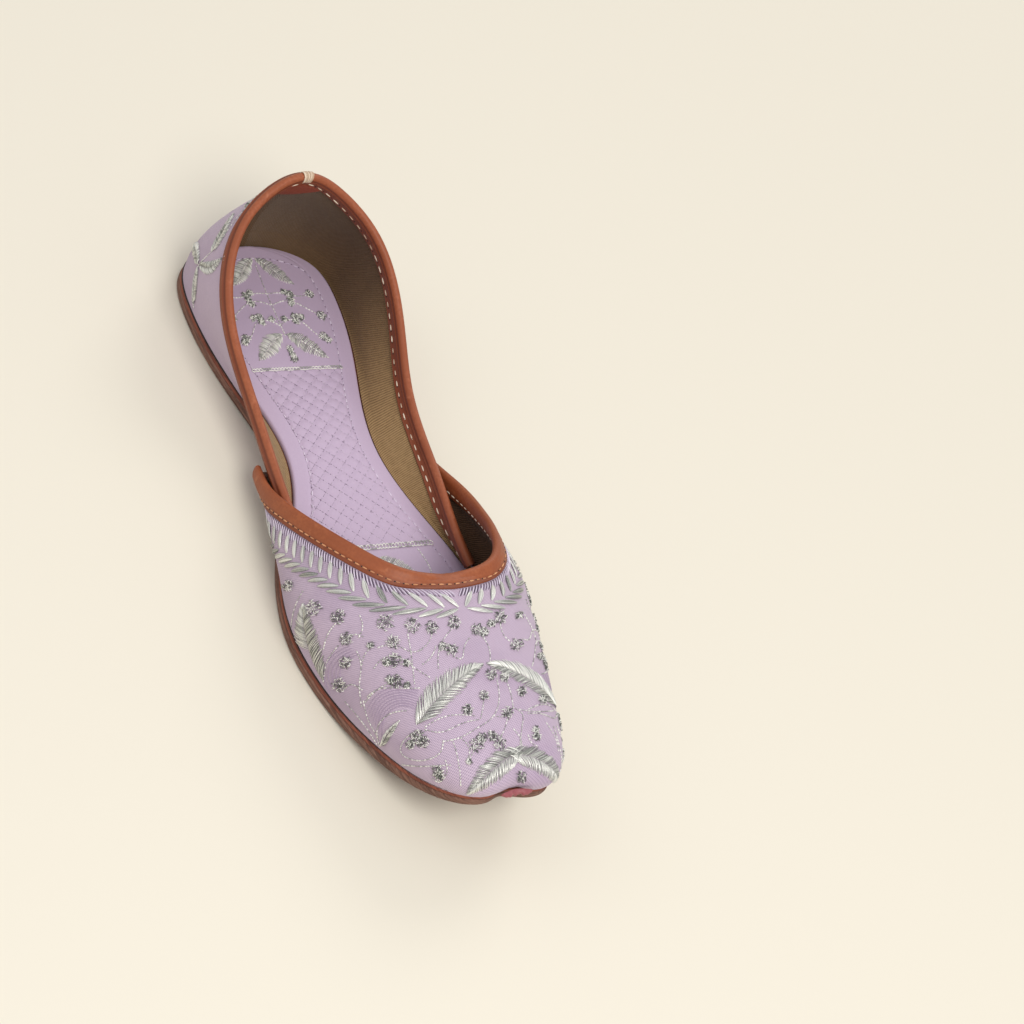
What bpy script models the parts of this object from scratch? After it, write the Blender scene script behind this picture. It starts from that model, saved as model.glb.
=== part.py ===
# Mojari: a flat slip-on shoe with a stitched leather sole, an embroidered upper and bound edges.
# Metres, toe toward +X, heel and forefoot standing on Z = 0. The shoe is the same left and right.

import math

import bmesh
import bpy
import numpy as np
from mathutils import Vector
from mathutils.bvhtree import BVHTree

COLLECTION_NAME = "mojari_shoe"

# Sole
SOLE_LENGTH = 0.252
HEEL_WIDTH = 0.064
WAIST_WIDTH = 0.044
BALL_WIDTH = 0.0824
TOE_WIDTH = 0.0470
TOE_SPRING = 0.025
ARCH_LIFT = 0.0012
TOE_NOTCH_DEPTH = 0.0040
TOE_NOTCH_HALF = 0.0065
OUTSOLE_THICKNESS = 0.0034
MIDSOLE_THICKNESS = 0.0016
SOLE_EDGE_ROUND = 0.0006

# Insole
INSOLE_THICKNESS = 0.0016
INSOLE_CROWN = 0.0007
INSOLE_INSET = 0.0046

# Upper
WALL = 0.0016
COLLAR_HEIGHT = 0.0585
SIDE_HEIGHT = 0.0172
INSTEP_HEIGHT = 0.0425
TOE_HEIGHT = 0.0372
FEATHER_INSET = 0.0015
LAP_INSET = 0.0004

# Bindings: folded leather over the two edges
BINDING_LEATHER = 0.0006
COLLAR_BINDING_OUTSIDE = 0.0042
COLLAR_BINDING_INSIDE = 0.0062
VAMP_BINDING_OUTSIDE = 0.0050
VAMP_BINDING_INSIDE = 0.0050
BEAD_HEIGHT = 0.0018
BEAD_FULLNESS = 0.0003
SLOT_ROOM = 0.00050

# Heel patch inside the collar
PATCH_WIDTH = 0.020
PATCH_DROP = 0.0110
PATCH_LEATHER = 0.0008

# Leather folded into the notch at the toe
FOLD_LEATHER = 0.0006
FOLD_BULGE = 0.0006
FOLD_STANDOFF = 0.0010

CLEARANCE = 0.0003
SEAT_TRIM = 0.0013
CUTTER_MARGIN = 0.010

# Sole outline: share of the length from the middle, the width it follows, half width as its share
SOLE_OUTLINE = (
    (-0.500, HEEL_WIDTH, 0.0),
    (-0.492, HEEL_WIDTH, 0.213),
    (-0.455, HEEL_WIDTH, 0.434),
    (-0.380, HEEL_WIDTH, 0.500),
    (-0.250, HEEL_WIDTH, 0.434),
    (-0.100, WAIST_WIDTH, 0.500),
    (0.050, BALL_WIDTH, 0.418),
    (0.180, BALL_WIDTH, 0.500),
    (0.280, BALL_WIDTH, 0.442),
    (0.380, TOE_WIDTH, 0.618),
    (0.450, TOE_WIDTH, 0.492),
    (0.488, TOE_WIDTH, 0.335),
    (0.500, TOE_WIDTH, 0.0),
)
ARCH_FROM, ARCH_TO = -0.25, 0.08
SPRING_FROM = 0.25
NOTCH_FROM = 0.44
NOTCH_MARGIN = 0.0010
PLEAT_FADE = 4

# Collar edge from the back peak to the tail inside the vamp:
# share of the length, half width as a share of the ball width,
# height as a share of the way from the side height up to the collar height
COLLAR_EDGE = (
    (-0.440, 0.0, 1.0),
    (-0.424, 0.180, 0.880),
    (-0.374, 0.340, 0.665),
    (-0.284, 0.410, 0.355),
    (-0.164, 0.380, 0.090),
    (-0.034, 0.376, 0.0),
    (0.070, 0.374, -0.060),
    (0.130, 0.405, -0.125),
    (0.154, 0.442, -0.190),
)

# Vamp edge from the side corner to the middle of the throat:
# share of the length, half width as a share of the ball width, height as a share of the instep height
VAMP_EDGE = (
    (-0.078, 0.408, 0.262),
    (-0.040, 0.432, 0.345),
    (0.003, 0.436, 0.478),
    (0.069, 0.402, 0.700),
    (0.133, 0.338, 0.905),
    (0.180, 0.235, 1.010),
    (0.199, 0.0, 1.0),
)

# Ridge of the vamp from the throat to the toe: share of the length,
# height as a share of the way from the toe height up to the instep height
VAMP_RIDGE = (
    (0.199, 1.0),
    (0.265, 1.05),
    (0.340, 0.95),
    (0.420, 0.60),
)

# Quarter sections: share of the way round, rise and lean at the sole, reach and slope at the edge
# (rise and reach are shares of the wall's height there, angles are in degrees)
QUARTER_SECTIONS = (
    (0.00, 0.42, 7.0, 0.36, 68.0),
    (0.20, 0.40, 7.0, 0.36, 72.0),
    (0.45, 0.38, 14.0, 0.36, 86.0),
    (0.70, 0.40, 50.0, 0.36, 78.0),
    (0.85, 0.40, 18.0, 0.36, 80.0),
    (1.00, 0.36, 0.0, 0.36, 60.0),
)

# Vamp sections from the side corner to the toe: share of the way along the sole,
# share of the edge (to 1) and then of the ridge (to 2), rise, lean, reach and slope as above
VAMP_SECTIONS = (
    (0.00, 0.00, 0.45, 56.0, 0.34, 84.0),
    (0.12, 0.26, 0.70, 70.0, 0.36, 80.0),
    (0.26, 0.54, 0.54, 38.0, 0.40, 62.0),
    (0.38, 0.78, 0.52, 17.0, 0.46, 34.0),
    (0.50, 1.00, 0.52, 11.0, 0.52, 0.0),
    (0.66, 1.42, 0.52, 17.0, 0.55, 0.0),
    (0.82, 1.74, 0.46, 25.0, 0.53, 0.0),
    (1.00, 2.00, 0.38, 24.0, 0.44, 0.0),
)
VAMP_FROM = -0.078
TAIL_TO = 0.156
LAP_FROM, LAP_TO = -0.20, -0.07
TAIL_BOUND = 0.93
CORNER_BOUND = 0.0
PATCH_ROUND_SHARE = 0.97
FOLD_FROM = 1.945
RIDGE_BLEND = 0.2
FOLD_LOW, FOLD_HIGH = 0.10, 0.20

# Mesh steps
OUTLINE_STEPS = 48
QUARTER_STEPS = 26
QUARTER_RISE_STEPS = 6
VAMP_EDGE_STEPS = 17
VAMP_RIDGE_STEPS = 18
VAMP_RISE_STEPS = 11
BINDING_STEPS = 26
PATCH_STEPS = 7
FOLD_STEPS = 5
FINE = 400
WALK_PACE = 0.0011
TREE_FINENESS = 3
THROAT_CROWDING = 1.2

FORWARD = np.array([1.0, 0.0, 0.0])
UP = np.array([0.0, 0.0, 1.0])
MIRROR = np.array([1.0, -1.0, 1.0])


def smooth_step(value):
    value = np.clip(value, 0.0, 1.0)
    return value * value * (3.0 - 2.0 * value)


def cubic(knots, values, at):
    """Natural cubic spline through values at knots, read at the places in at."""
    knots, values, at = np.asarray(knots, float), np.asarray(values, float), np.asarray(at, float)
    step = np.diff(knots)
    system = np.eye(len(knots))
    bend = np.zeros_like(values)
    for i in range(1, len(knots) - 1):
        system[i, i - 1:i + 2] = step[i - 1], 2 * (step[i - 1] + step[i]), step[i]
        slope = (values[i + 1] - values[i]) / step[i] - (values[i] - values[i - 1]) / step[i - 1]
        bend[i] = 6 * slope
    curvature = np.linalg.solve(system, bend)
    i = np.clip(np.searchsorted(knots, at) - 1, 0, len(knots) - 2)
    width, done, left = step[i], at - knots[i], knots[i + 1] - at
    if values.ndim > 1:
        width, done, left = width[:, None], done[:, None], left[:, None]
    return (
        (curvature[i] * left ** 3 + curvature[i + 1] * done ** 3) / (6 * width)
        + (values[i] / width - curvature[i] * width / 6) * left
        + (values[i + 1] / width - curvature[i + 1] * width / 6) * done
    )


def length_along(points):
    return np.concatenate([[0.0], np.cumsum(np.linalg.norm(np.diff(points, axis=0), axis=1))])


def read_at_shares(points, shares):
    """Points at shares of the length of a finely divided curve."""
    along = length_along(points)
    at = np.asarray(shares) * along[-1]
    return np.column_stack([np.interp(at, along, column) for column in points.T])


def curve_from_centre(points, ends_on_centre):
    """Fine smooth curve whose first point lies on the centre plane, square to it."""
    points = np.asarray(points, float)
    before = points[2:0:-1] * MIRROR
    after = points[-2:-4:-1] * MIRROR if ends_on_centre else points[:0]
    whole = np.vstack([before, points, after])
    along = length_along(whole)
    first, last = along[len(before)], along[len(before) + len(points) - 1]
    return cubic(along, whole, np.linspace(first, last, FINE))


def sole_rise(x):
    """Height of the sole's underside: arch between heel and ball, spring at the toe."""
    share = x / SOLE_LENGTH
    arch = np.sin(math.pi * np.clip((share - ARCH_FROM) / (ARCH_TO - ARCH_FROM), 0.0, 1.0)) ** 2
    spring = np.clip((share - SPRING_FROM) / (0.5 - SPRING_FROM), 0.0, 1.0) ** 2
    return ARCH_LIFT * arch + TOE_SPRING * spring


def notch_depth(x, y):
    """How far the notch at the toe sets back a point of the outline."""
    at_toe = smooth_step((x / SOLE_LENGTH - NOTCH_FROM) / (0.5 - NOTCH_FROM))
    return TOE_NOTCH_DEPTH * at_toe * np.exp(-((y / TOE_NOTCH_HALF) ** 2))


def outline_curve(inset):
    """Fine half outline from heel to toe at an inset from the edge, without the notch, and its normals."""
    rows = [(share * SOLE_LENGTH, width * half, 0.0) for share, width, half in SOLE_OUTLINE]
    base = curve_from_centre(rows, True)
    run = np.gradient(base, axis=0)
    outward = np.column_stack([-run[:, 1], run[:, 0], np.zeros(FINE)])
    outward /= np.linalg.norm(outward, axis=1)[:, None]
    outward[[0, -1], 1] = 0.0
    points = base - outward * inset
    points[[0, -1], 1] = 0.0
    points[:, 1] = np.maximum(points[:, 1], 0.0)
    return points, outward


def outline_at(inset, shares):
    points, outward = outline_curve(inset)
    along = length_along(points)
    at = np.asarray(shares) * along[-1]
    place = np.column_stack([np.interp(at, along, column) for column in points.T])
    normal = np.column_stack([np.interp(at, along, column) for column in outward.T])
    return place, normal / np.linalg.norm(normal, axis=1)[:, None]


def outline_share(length_share):
    """Share of the half outline at which it passes a share of the sole's length."""
    points, _ = outline_curve(0.0)
    along = length_along(points)
    return float(np.interp(length_share * SOLE_LENGTH, points[:, 0], along / along[-1]))


def feather_height(x):
    return sole_rise(x) + OUTSOLE_THICKNESS + MIDSOLE_THICKNESS + 2 * CLEARANCE


def bezier_wall(foot, edge, outward, shape, steps):
    """Rows of points from foot to edge: shape has a rise, lean, reach and slope for each station."""
    rise, lean, reach, slope = (column[:, None] for column in shape.T)
    tall = np.linalg.norm(edge - foot, axis=1)[:, None]
    first = foot + rise * tall * (UP * np.cos(lean) + outward * np.sin(lean))
    second = edge + reach * tall * (outward * np.cos(slope) - UP * np.sin(slope))
    t = steps[None, :, None]
    foot, first, second, edge = (corner[:, None, :] for corner in (foot, first, second, edge))
    return (
        foot * (1 - t) ** 3
        + first * 3 * t * (1 - t) ** 2
        + second * 3 * t ** 2 * (1 - t)
        + edge * t ** 3
    )


def section_shapes(table, at, column):
    """Shape columns of a section table, read smoothly at the stations."""
    table = np.array(table)
    shape = cubic(table[:, 0], table[:, column:], at)
    shape[:, [1, 3]] = np.radians(shape[:, [1, 3]])
    return shape


def collar_edge():
    half = BALL_WIDTH
    climb = COLLAR_HEIGHT - SIDE_HEIGHT
    rows = [(x * SOLE_LENGTH, y * half, SIDE_HEIGHT + z * climb) for x, y, z in COLLAR_EDGE]
    return curve_from_centre(rows, False)


def throat_edge():
    rows = [(x * SOLE_LENGTH, y * BALL_WIDTH, z * INSTEP_HEIGHT) for x, y, z in reversed(VAMP_EDGE)]
    return curve_from_centre(rows, False)[::-1]


def ridge_line():
    rows = np.array(VAMP_RIDGE)
    along = np.linspace(rows[0, 0], rows[-1, 0], FINE)
    height = TOE_HEIGHT + (INSTEP_HEIGHT - TOE_HEIGHT) * cubic(rows[:, 0], rows[:, 1], along)
    return np.column_stack([along * SOLE_LENGTH, np.zeros(FINE), height])


def ridge_fall(stations):
    """Angle at which the ridge falls towards the toe, by station."""
    ridge = ridge_line()
    fall = np.arctan2(-np.gradient(ridge[:, 2]), np.gradient(ridge[:, 0]))
    fall *= smooth_step(np.linspace(0, 1, FINE) / RIDGE_BLEND)
    return np.interp(np.clip(stations - 1, 0, 1), length_along(ridge) / length_along(ridge)[-1], fall)


def quarter_wall(stations, steps):
    """Middle of the quarter's wall: stations run from the back seam to the tail."""
    stations = np.asarray(stations, float)
    shares = stations * outline_share(TAIL_TO)
    foot, outward = outline_at(FEATHER_INSET, shares)
    lap = smooth_step((foot[:, 0] / SOLE_LENGTH - LAP_FROM) / (LAP_TO - LAP_FROM))
    foot = foot - outward * (LAP_INSET * lap)[:, None]
    foot[:, 2] = feather_height(foot[:, 0]) - SEAT_TRIM
    edge = read_at_shares(collar_edge(), stations)
    return bezier_wall(foot, edge, outward, section_shapes(QUARTER_SECTIONS, stations, 1), steps)


def vamp_wall(stations, steps):
    """Middle of the vamp's wall: stations 0 to 1 end on the throat, 1 to 2 on the ridge."""
    table = np.array(VAMP_SECTIONS)
    stations = np.asarray(stations, float)
    along = np.interp(stations, table[:, 1], table[:, 0])
    start = outline_share(VAMP_FROM)
    foot, outward = outline_at(FEATHER_INSET, start + (1 - start) * along)
    foot[:, 2] = feather_height(foot[:, 0]) - SEAT_TRIM
    throat = read_at_shares(throat_edge(), np.clip(stations, 0, 1))
    ridge = read_at_shares(ridge_line(), np.clip(stations - 1, 0, 1))
    edge = np.where(stations[:, None] <= 1, throat, ridge)
    shape = section_shapes(VAMP_SECTIONS, along, 2)
    shape[:, 3] += ridge_fall(stations) * outward[:, 0]
    grid = bezier_wall(foot, edge, outward, shape, steps)
    fade = (1 - steps) ** PLEAT_FADE
    grid[..., 0] -= notch_depth(foot[:, 0], foot[:, 1])[:, None] * fade
    return grid


def wall_normals(grid):
    """Outward normals of a grid of stations and steps."""
    along = np.gradient(grid, axis=0)
    up = np.gradient(grid, axis=1)
    normal = np.cross(along, up)
    normal = np.where(np.linalg.norm(normal, axis=2)[..., None] < 1e-15, UP, normal)
    normal /= np.linalg.norm(normal, axis=2)[..., None]
    return -normal


def new_object(name, vertices, faces, collection):
    mesh = bpy.data.meshes.new(name)
    mesh.from_pydata([tuple(map(float, vertex)) for vertex in vertices], [], faces)
    mesh.validate()
    obj = bpy.data.objects.new(name, mesh)
    collection.objects.link(obj)
    return obj


def weld_and_face_out(obj):
    tidy = bmesh.new()
    tidy.from_mesh(obj.data)
    bmesh.ops.remove_doubles(tidy, verts=tidy.verts, dist=1e-6)
    bmesh.ops.recalc_face_normals(tidy, faces=tidy.faces)
    tidy.to_mesh(obj.data)
    tidy.free()


def grid_faces(rows, columns):
    return [
        (i * columns + j, (i + 1) * columns + j, (i + 1) * columns + j + 1, i * columns + j + 1)
        for i in range(rows - 1)
        for j in range(columns - 1)
    ]


def shell_from_half(name, grid, collection):
    """Mirrored wall of the shoe, given its thickness."""
    rows, columns = grid.shape[:2]
    points = grid.reshape(-1, 3)
    obj = new_object(name, points, grid_faces(rows, columns), collection)
    weld_and_face_out(obj)
    mirror = obj.modifiers.new("other side", "MIRROR")
    mirror.use_axis = (False, True, False)
    mirror.merge_threshold = 0.00005
    solidify = obj.modifiers.new("wall", "SOLIDIFY")
    solidify.thickness = WALL
    solidify.offset = 0.0
    return obj


def cap_faces(start, half, centre):
    """Faces over a ring: strips across it as far as the notch, then fans from a point before the notch."""
    ring_size = 2 * OUTLINE_STEPS
    right = [start + i for i in range(OUTLINE_STEPS + 1)]
    left = [start + (ring_size - i) % ring_size for i in range(OUTLINE_STEPS + 1)]
    before = int(np.flatnonzero(half[:, 0] < half[-1, 0] - NOTCH_MARGIN)[-1])
    faces = []
    for i in range(before):
        across = [right[i], right[i + 1], left[i + 1], left[i]]
        if i == before - 1:
            across.insert(2, centre)
        faces.append(tuple(dict.fromkeys(across)))
    for i in range(before, OUTLINE_STEPS):
        faces.append((centre, right[i], right[i + 1]))
        faces.append((centre, left[i + 1], left[i]))
    return faces, (half[before, 0], 0.0, half[before, 2])


def layered_slab(name, layers, collection):
    """Closed slab on the sole's outline: each layer is an inset and a height above the sole's rise."""
    count = OUTLINE_STEPS + 1
    shares = (1 - np.cos(np.linspace(0, math.pi, count))) / 2
    shares = 0.55 * shares + 0.45 * np.linspace(0, 1, count)
    ring_size = 2 * OUTLINE_STEPS
    vertices, faces, halves = [], [], []
    for inset, height in layers:
        half, _ = outline_at(inset, shares)
        half[:, 0] -= notch_depth(half[:, 0], half[:, 1])
        half[:, 2] = sole_rise(half[:, 0]) + height
        halves.append(half)
        vertices.extend(half)
        vertices.extend((half[1:-1] * MIRROR)[::-1])
    for layer in range(len(layers) - 1):
        low, high = layer * ring_size, (layer + 1) * ring_size
        for i in range(ring_size):
            j = (i + 1) % ring_size
            faces.append((low + i, low + j, high + j, high + i))
    for layer in (0, len(layers) - 1):
        cap, centre = cap_faces(layer * ring_size, halves[layer], len(vertices))
        faces.extend(cap)
        vertices.append(centre)
    obj = new_object(name, vertices, faces, collection)
    weld_and_face_out(obj)
    return obj


def make_outsole(collection):
    top = OUTSOLE_THICKNESS
    layers = (
        (2 * SOLE_EDGE_ROUND, 0.0),
        (SOLE_EDGE_ROUND * 0.3, SOLE_EDGE_ROUND),
        (0.0, top / 2),
        (SOLE_EDGE_ROUND * 0.4, top),
    )
    return layered_slab("outsole", layers, collection)


def make_midsole(collection):
    bottom = OUTSOLE_THICKNESS + CLEARANCE
    layers = (
        (SOLE_EDGE_ROUND, bottom),
        (0.0, bottom + MIDSOLE_THICKNESS / 2),
        (SOLE_EDGE_ROUND, bottom + MIDSOLE_THICKNESS),
    )
    return layered_slab("midsole", layers, collection)


def make_insole(collection):
    bottom = OUTSOLE_THICKNESS + MIDSOLE_THICKNESS + 2 * CLEARANCE
    top = bottom + INSOLE_THICKNESS
    layers = (
        (INSOLE_INSET, bottom),
        (INSOLE_INSET, top - SOLE_EDGE_ROUND),
        (INSOLE_INSET + SOLE_EDGE_ROUND, top),
        (INSOLE_INSET + 8 * SOLE_EDGE_ROUND, top + INSOLE_CROWN),
    )
    return layered_slab("insole", layers, collection)


def union(obj, other):
    """Other fused onto obj, and removed."""
    join = obj.modifiers.new("join", "BOOLEAN")
    join.operation = "UNION"
    join.object = other
    graph = bpy.context.evaluated_depsgraph_get()
    mesh = bpy.data.meshes.new_from_object(obj.evaluated_get(graph), depsgraph=graph)
    obj.modifiers.clear()
    obj.data = mesh
    bpy.data.objects.remove(other)


def quarter_stations():
    return np.linspace(0, 1, QUARTER_STEPS + 1)


def quarter_steps():
    return np.linspace(0, 1, QUARTER_RISE_STEPS + 1)


def vamp_stations():
    throat = 1 - np.linspace(1, 0, VAMP_EDGE_STEPS + 1) ** THROAT_CROWDING
    ridge = 1 + np.linspace(0, 1, VAMP_RIDGE_STEPS + 1)[1:] ** THROAT_CROWDING
    return np.concatenate([throat, ridge])


def vamp_steps():
    return np.linspace(0, 1, VAMP_RISE_STEPS + 1)


def make_sole_cutter(cutters):
    """Block whose top follows the sole, to trim the walls that stand on it."""
    reach = SOLE_LENGTH / 2 + CUTTER_MARGIN
    side = BALL_WIDTH / 2 + CUTTER_MARGIN
    along = np.linspace(-reach, reach, OUTLINE_STEPS)
    top = feather_height(along)
    bottom = np.full(OUTLINE_STEPS, -CUTTER_MARGIN)
    rows = [np.column_stack([along, np.full(OUTLINE_STEPS, y), z])
            for y, z in ((-side, bottom), (-side, top), (side, top), (side, bottom))]
    faces = []
    for i in range(OUTLINE_STEPS - 1):
        for a, b in ((0, 1), (1, 2), (2, 3), (3, 0)):
            a, b = a * OUTLINE_STEPS + i, b * OUTLINE_STEPS + i
            faces.append((a, a + 1, b + 1, b))
    for end in (0, OUTLINE_STEPS - 1):
        faces.append(tuple(k * OUTLINE_STEPS + end for k in range(4)))
    cutter = new_object("sole_cutter", np.vstack(rows), faces, cutters)
    weld_and_face_out(cutter)
    cutter.hide_render = True
    cutter.display_type = "WIRE"
    return cutter


def make_upper(collection, cutters):
    """Vamp and quarters as one hollow shell, open at the collar, the throat and underneath."""
    upper = shell_from_half("upper", vamp_wall(vamp_stations(), vamp_steps()), collection)
    quarters = shell_from_half("quarters", quarter_wall(quarter_stations(), quarter_steps()), collection)
    union(upper, quarters)
    trim = upper.modifiers.new("trim on the sole", "BOOLEAN")
    trim.operation = "DIFFERENCE"
    trim.object = make_sole_cutter(cutters)
    return upper


def wall_tree(wall, stations, steps):
    """Both sides of a wall, finely divided, to be searched for its nearest point."""
    finer = [np.interp(np.linspace(0, len(row) - 1, TREE_FINENESS * len(row)), range(len(row)), row)
             for row in (stations, steps)]
    grid = wall(*finer)
    half = grid.reshape(-1, 3)
    faces = grid_faces(*grid.shape[:2])
    other = [tuple(corner + len(half) for corner in face) for face in faces]
    points = np.vstack([half, half * MIRROR])
    outward = [tuple(reversed(face)) for face in faces]
    return BVHTree.FromPolygons([Vector(point) for point in points], outward + other)


def walk_down(tree, start, along, toward, depths):
    """Points and normals met on the wall at each depth, walking square to its edge in even paces."""
    along, toward = Vector(along), Vector(toward)
    place, normal, _, _ = tree.find_nearest(Vector(start))
    walked, places, normals = 0.0, [], []
    for depth in depths:
        while walked < depth - 1e-9:
            pace = min(WALK_PACE, depth - walked)
            heading = normal.cross(along).normalized()
            heading = heading if heading.dot(toward) > 0 else -heading
            place, normal, _, _ = tree.find_nearest(place + heading * pace)
            toward = heading
            walked += pace
        places.append(np.array(place))
        normals.append(np.array(normal))
    return np.array(places), np.array(normals)


def binding_section(outside, inside):
    """Closed section over an edge: offset out of the wall's middle and depth below the edge."""
    slot = WALL / 2 + SLOT_ROOM
    face = slot + BINDING_LEATHER
    bead = face + BEAD_FULLNESS
    top = CLEARANCE + BEAD_HEIGHT
    neck = 2.2 * BEAD_HEIGHT
    return (
        (face, outside),
        (face, neck),
        (bead, BEAD_HEIGHT),
        (face, -0.35 * top),
        (0.5 * face, -0.9 * top),
        (-0.5 * face, -0.9 * top),
        (-face, -0.35 * top),
        (-bead, BEAD_HEIGHT),
        (-face, neck),
        (-face, inside),
        (-slot, inside),
        (-slot, neck),
        (-slot, BEAD_HEIGHT),
        (-slot, -CLEARANCE),
        (slot, -CLEARANCE),
        (slot, BEAD_HEIGHT),
        (slot, outside),
    )


def edge_run(edge):
    """Unit vectors along an edge that starts on the centre plane, square to it."""
    along = np.gradient(edge, axis=0)
    along[0, [0, 2]] = 0.0
    return along / np.linalg.norm(along, axis=1)[:, None]


def strip_rings(edge, tree, toward, section):
    """Section points at each place along an edge, laid on the wall below it."""
    depths = sorted({0.0, WALK_PACE} | {depth for _, depth in section if depth > 0})
    walks = [walk_down(tree, start, along, toward, depths) for start, along in zip(edge, edge_run(edge))]
    places, normals = (np.array(part) for part in zip(*walks))
    normals[1:-1] = (normals[:-2] + normals[1:-1] + normals[2:]) / 3
    normals /= np.linalg.norm(normals, axis=2)[..., None]
    up = places[:, 0] - places[:, 1]
    up /= np.linalg.norm(up, axis=1)[:, None]
    rings = []
    for offset, depth in section:
        if depth > 0:
            level = depths.index(depth)
            rings.append(places[:, level] + normals[:, level] * offset)
        else:
            rings.append(places[:, 0] - up * depth + normals[:, 1] * offset)
    rings = np.stack(rings, axis=1)
    rings[0, :, 1] = 0.0
    return rings


def strip_from_half(name, rings, collection):
    """Closed strip from its half, whose first ring lies on the centre plane."""
    whole = np.vstack([(rings[1:] * MIRROR)[::-1], rings])
    rows, columns = whole.shape[:2]
    faces = []
    for i in range(rows - 1):
        low, high = i * columns, (i + 1) * columns
        for j in range(columns):
            following = (j + 1) % columns
            faces.append((low + j, high + j, high + following, low + following))
    faces.append(tuple(range(columns)))
    faces.append(tuple((rows - 1) * columns + j for j in range(columns)))
    obj = new_object(name, whole.reshape(-1, 3), faces, collection)
    weld_and_face_out(obj)
    return obj


def quarter_tree():
    return wall_tree(quarter_wall, quarter_stations(), quarter_steps())


def make_collar_binding(collection):
    edge = quarter_wall(np.linspace(0, TAIL_BOUND, BINDING_STEPS), quarter_steps())[:, -1]
    section = binding_section(COLLAR_BINDING_OUTSIDE, COLLAR_BINDING_INSIDE)
    rings = strip_rings(edge, quarter_tree(), -UP, section)
    return strip_from_half("collar_binding", rings, collection)


def make_vamp_binding(collection):
    edge = vamp_wall(np.linspace(1, CORNER_BOUND, BINDING_STEPS), vamp_steps())[:, -1]
    section = binding_section(VAMP_BINDING_OUTSIDE, VAMP_BINDING_INSIDE)
    tree = wall_tree(vamp_wall, vamp_stations(), vamp_steps())
    rings = strip_rings(edge, tree, FORWARD - UP, section)
    return strip_from_half("vamp_binding", rings, collection)


def closed_patch(name, inner, outer, collection):
    """Closed thin solid between two grids of points."""
    rows, columns = inner.shape[:2]
    shift = rows * columns
    faces = grid_faces(rows, columns)
    faces += [tuple(corner + shift for corner in reversed(face)) for face in faces]
    rim = [i * columns for i in range(rows)]
    rim += [(rows - 1) * columns + j for j in range(1, columns)]
    rim += [i * columns + columns - 1 for i in range(rows - 2, -1, -1)]
    rim += [j for j in range(columns - 2, 0, -1)]
    for low, high in zip(rim, rim[1:] + rim[:1]):
        faces.append((low, high, high + shift, low + shift))
    points = np.vstack([inner.reshape(-1, 3), outer.reshape(-1, 3)])
    obj = new_object(name, points, faces, collection)
    weld_and_face_out(obj)
    return obj


def both_sides(half):
    """Rows from one side through the centre plane to the other; the first row lies on the plane."""
    half[0, :, 1] = 0.0
    return np.concatenate([(half[1:] * MIRROR)[::-1], half])


def make_heel_patch(collection):
    """Half-round leather patch on the lining, hanging below the binding at the back seam."""
    stations = np.linspace(0, PATCH_WIDTH / 2 / length_along(collar_edge())[-1], PATCH_STEPS)
    edge, tree = quarter_wall(stations, quarter_steps())[:, -1], quarter_tree()
    top = COLLAR_BINDING_INSIDE + CLEARANCE
    rows = []
    for i, along in enumerate(edge_run(edge)):
        drop = PATCH_DROP * math.sqrt(1 - (PATCH_ROUND_SHARE * i / (PATCH_STEPS - 1)) ** 2)
        rows.append(walk_down(tree, edge[i], along, -UP, np.linspace(top, top + drop, 4)))
    places, normals = (np.array(part) for part in zip(*rows))
    near = places - normals * (WALL / 2 + SLOT_ROOM)
    far = near - normals * PATCH_LEATHER
    return closed_patch("heel_patch", both_sides(near), both_sides(far), collection)


def make_toe_fold(collection):
    """Folded leather in the notch at the toe, in front of the vamp's lower edge."""
    stations = np.linspace(2, FOLD_FROM, FOLD_STEPS)
    steps = np.linspace(FOLD_LOW, FOLD_HIGH, 5)
    grid = vamp_wall(stations[::-1], np.concatenate([steps, [1.0]]))
    out = wall_normals(grid)[::-1, :5]
    places = grid[::-1, :5]
    across = np.linspace(0, 1, FOLD_STEPS)[:, None]
    up = np.linspace(-1, 1, 5)[None, :]
    bulge = FOLD_LEATHER + FOLD_BULGE * (1 - across ** 2) * (1 - up ** 2)
    near = places + out * (WALL / 2 + FOLD_STANDOFF)
    far = near + out * bulge[..., None]
    return closed_patch("toe_fold", both_sides(near), both_sides(far), collection)


def paint(obj, name, colour, roughness):
    material = bpy.data.materials.new(name)
    material.use_nodes = True
    shader = material.node_tree.nodes["Principled BSDF"]
    shader.inputs["Base Color"].default_value = (*colour, 1.0)
    shader.inputs["Roughness"].default_value = roughness
    shader.inputs["Metallic"].default_value = 0.0
    material.diffuse_color = (*colour, 1.0)
    obj.data.materials.clear()
    obj.data.materials.append(material)
    obj.data.shade_smooth()
    obj.data.set_sharp_from_angle(angle=math.radians(40))


def main():
    for obj in list(bpy.data.objects):
        bpy.data.objects.remove(obj)
    collection = bpy.data.collections.new(COLLECTION_NAME)
    cutters = bpy.data.collections.new("cutters")
    for group in (collection, cutters):
        bpy.context.scene.collection.children.link(group)
    paint(make_outsole(collection), "sole_leather", (0.25, 0.15, 0.10), 0.6)
    paint(make_midsole(collection), "midsole_leather", (0.22, 0.09, 0.06), 0.6)
    paint(make_insole(collection), "insole_fabric", (0.50, 0.36, 0.52), 0.7)
    paint(make_upper(collection, cutters), "upper_fabric", (0.50, 0.38, 0.53), 0.75)
    paint(make_collar_binding(collection), "collar_leather", (0.42, 0.13, 0.05), 0.45)
    paint(make_vamp_binding(collection), "vamp_edge_leather", (0.45, 0.15, 0.06), 0.45)
    paint(make_heel_patch(collection), "patch_leather", (0.33, 0.09, 0.04), 0.5)
    paint(make_toe_fold(collection), "fold_leather", (0.45, 0.14, 0.14), 0.5)


main()
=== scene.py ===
import math
import random

import bmesh
import bpy
import numpy as np
from mathutils import Matrix, Vector
from mathutils.bvhtree import BVHTree


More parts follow.
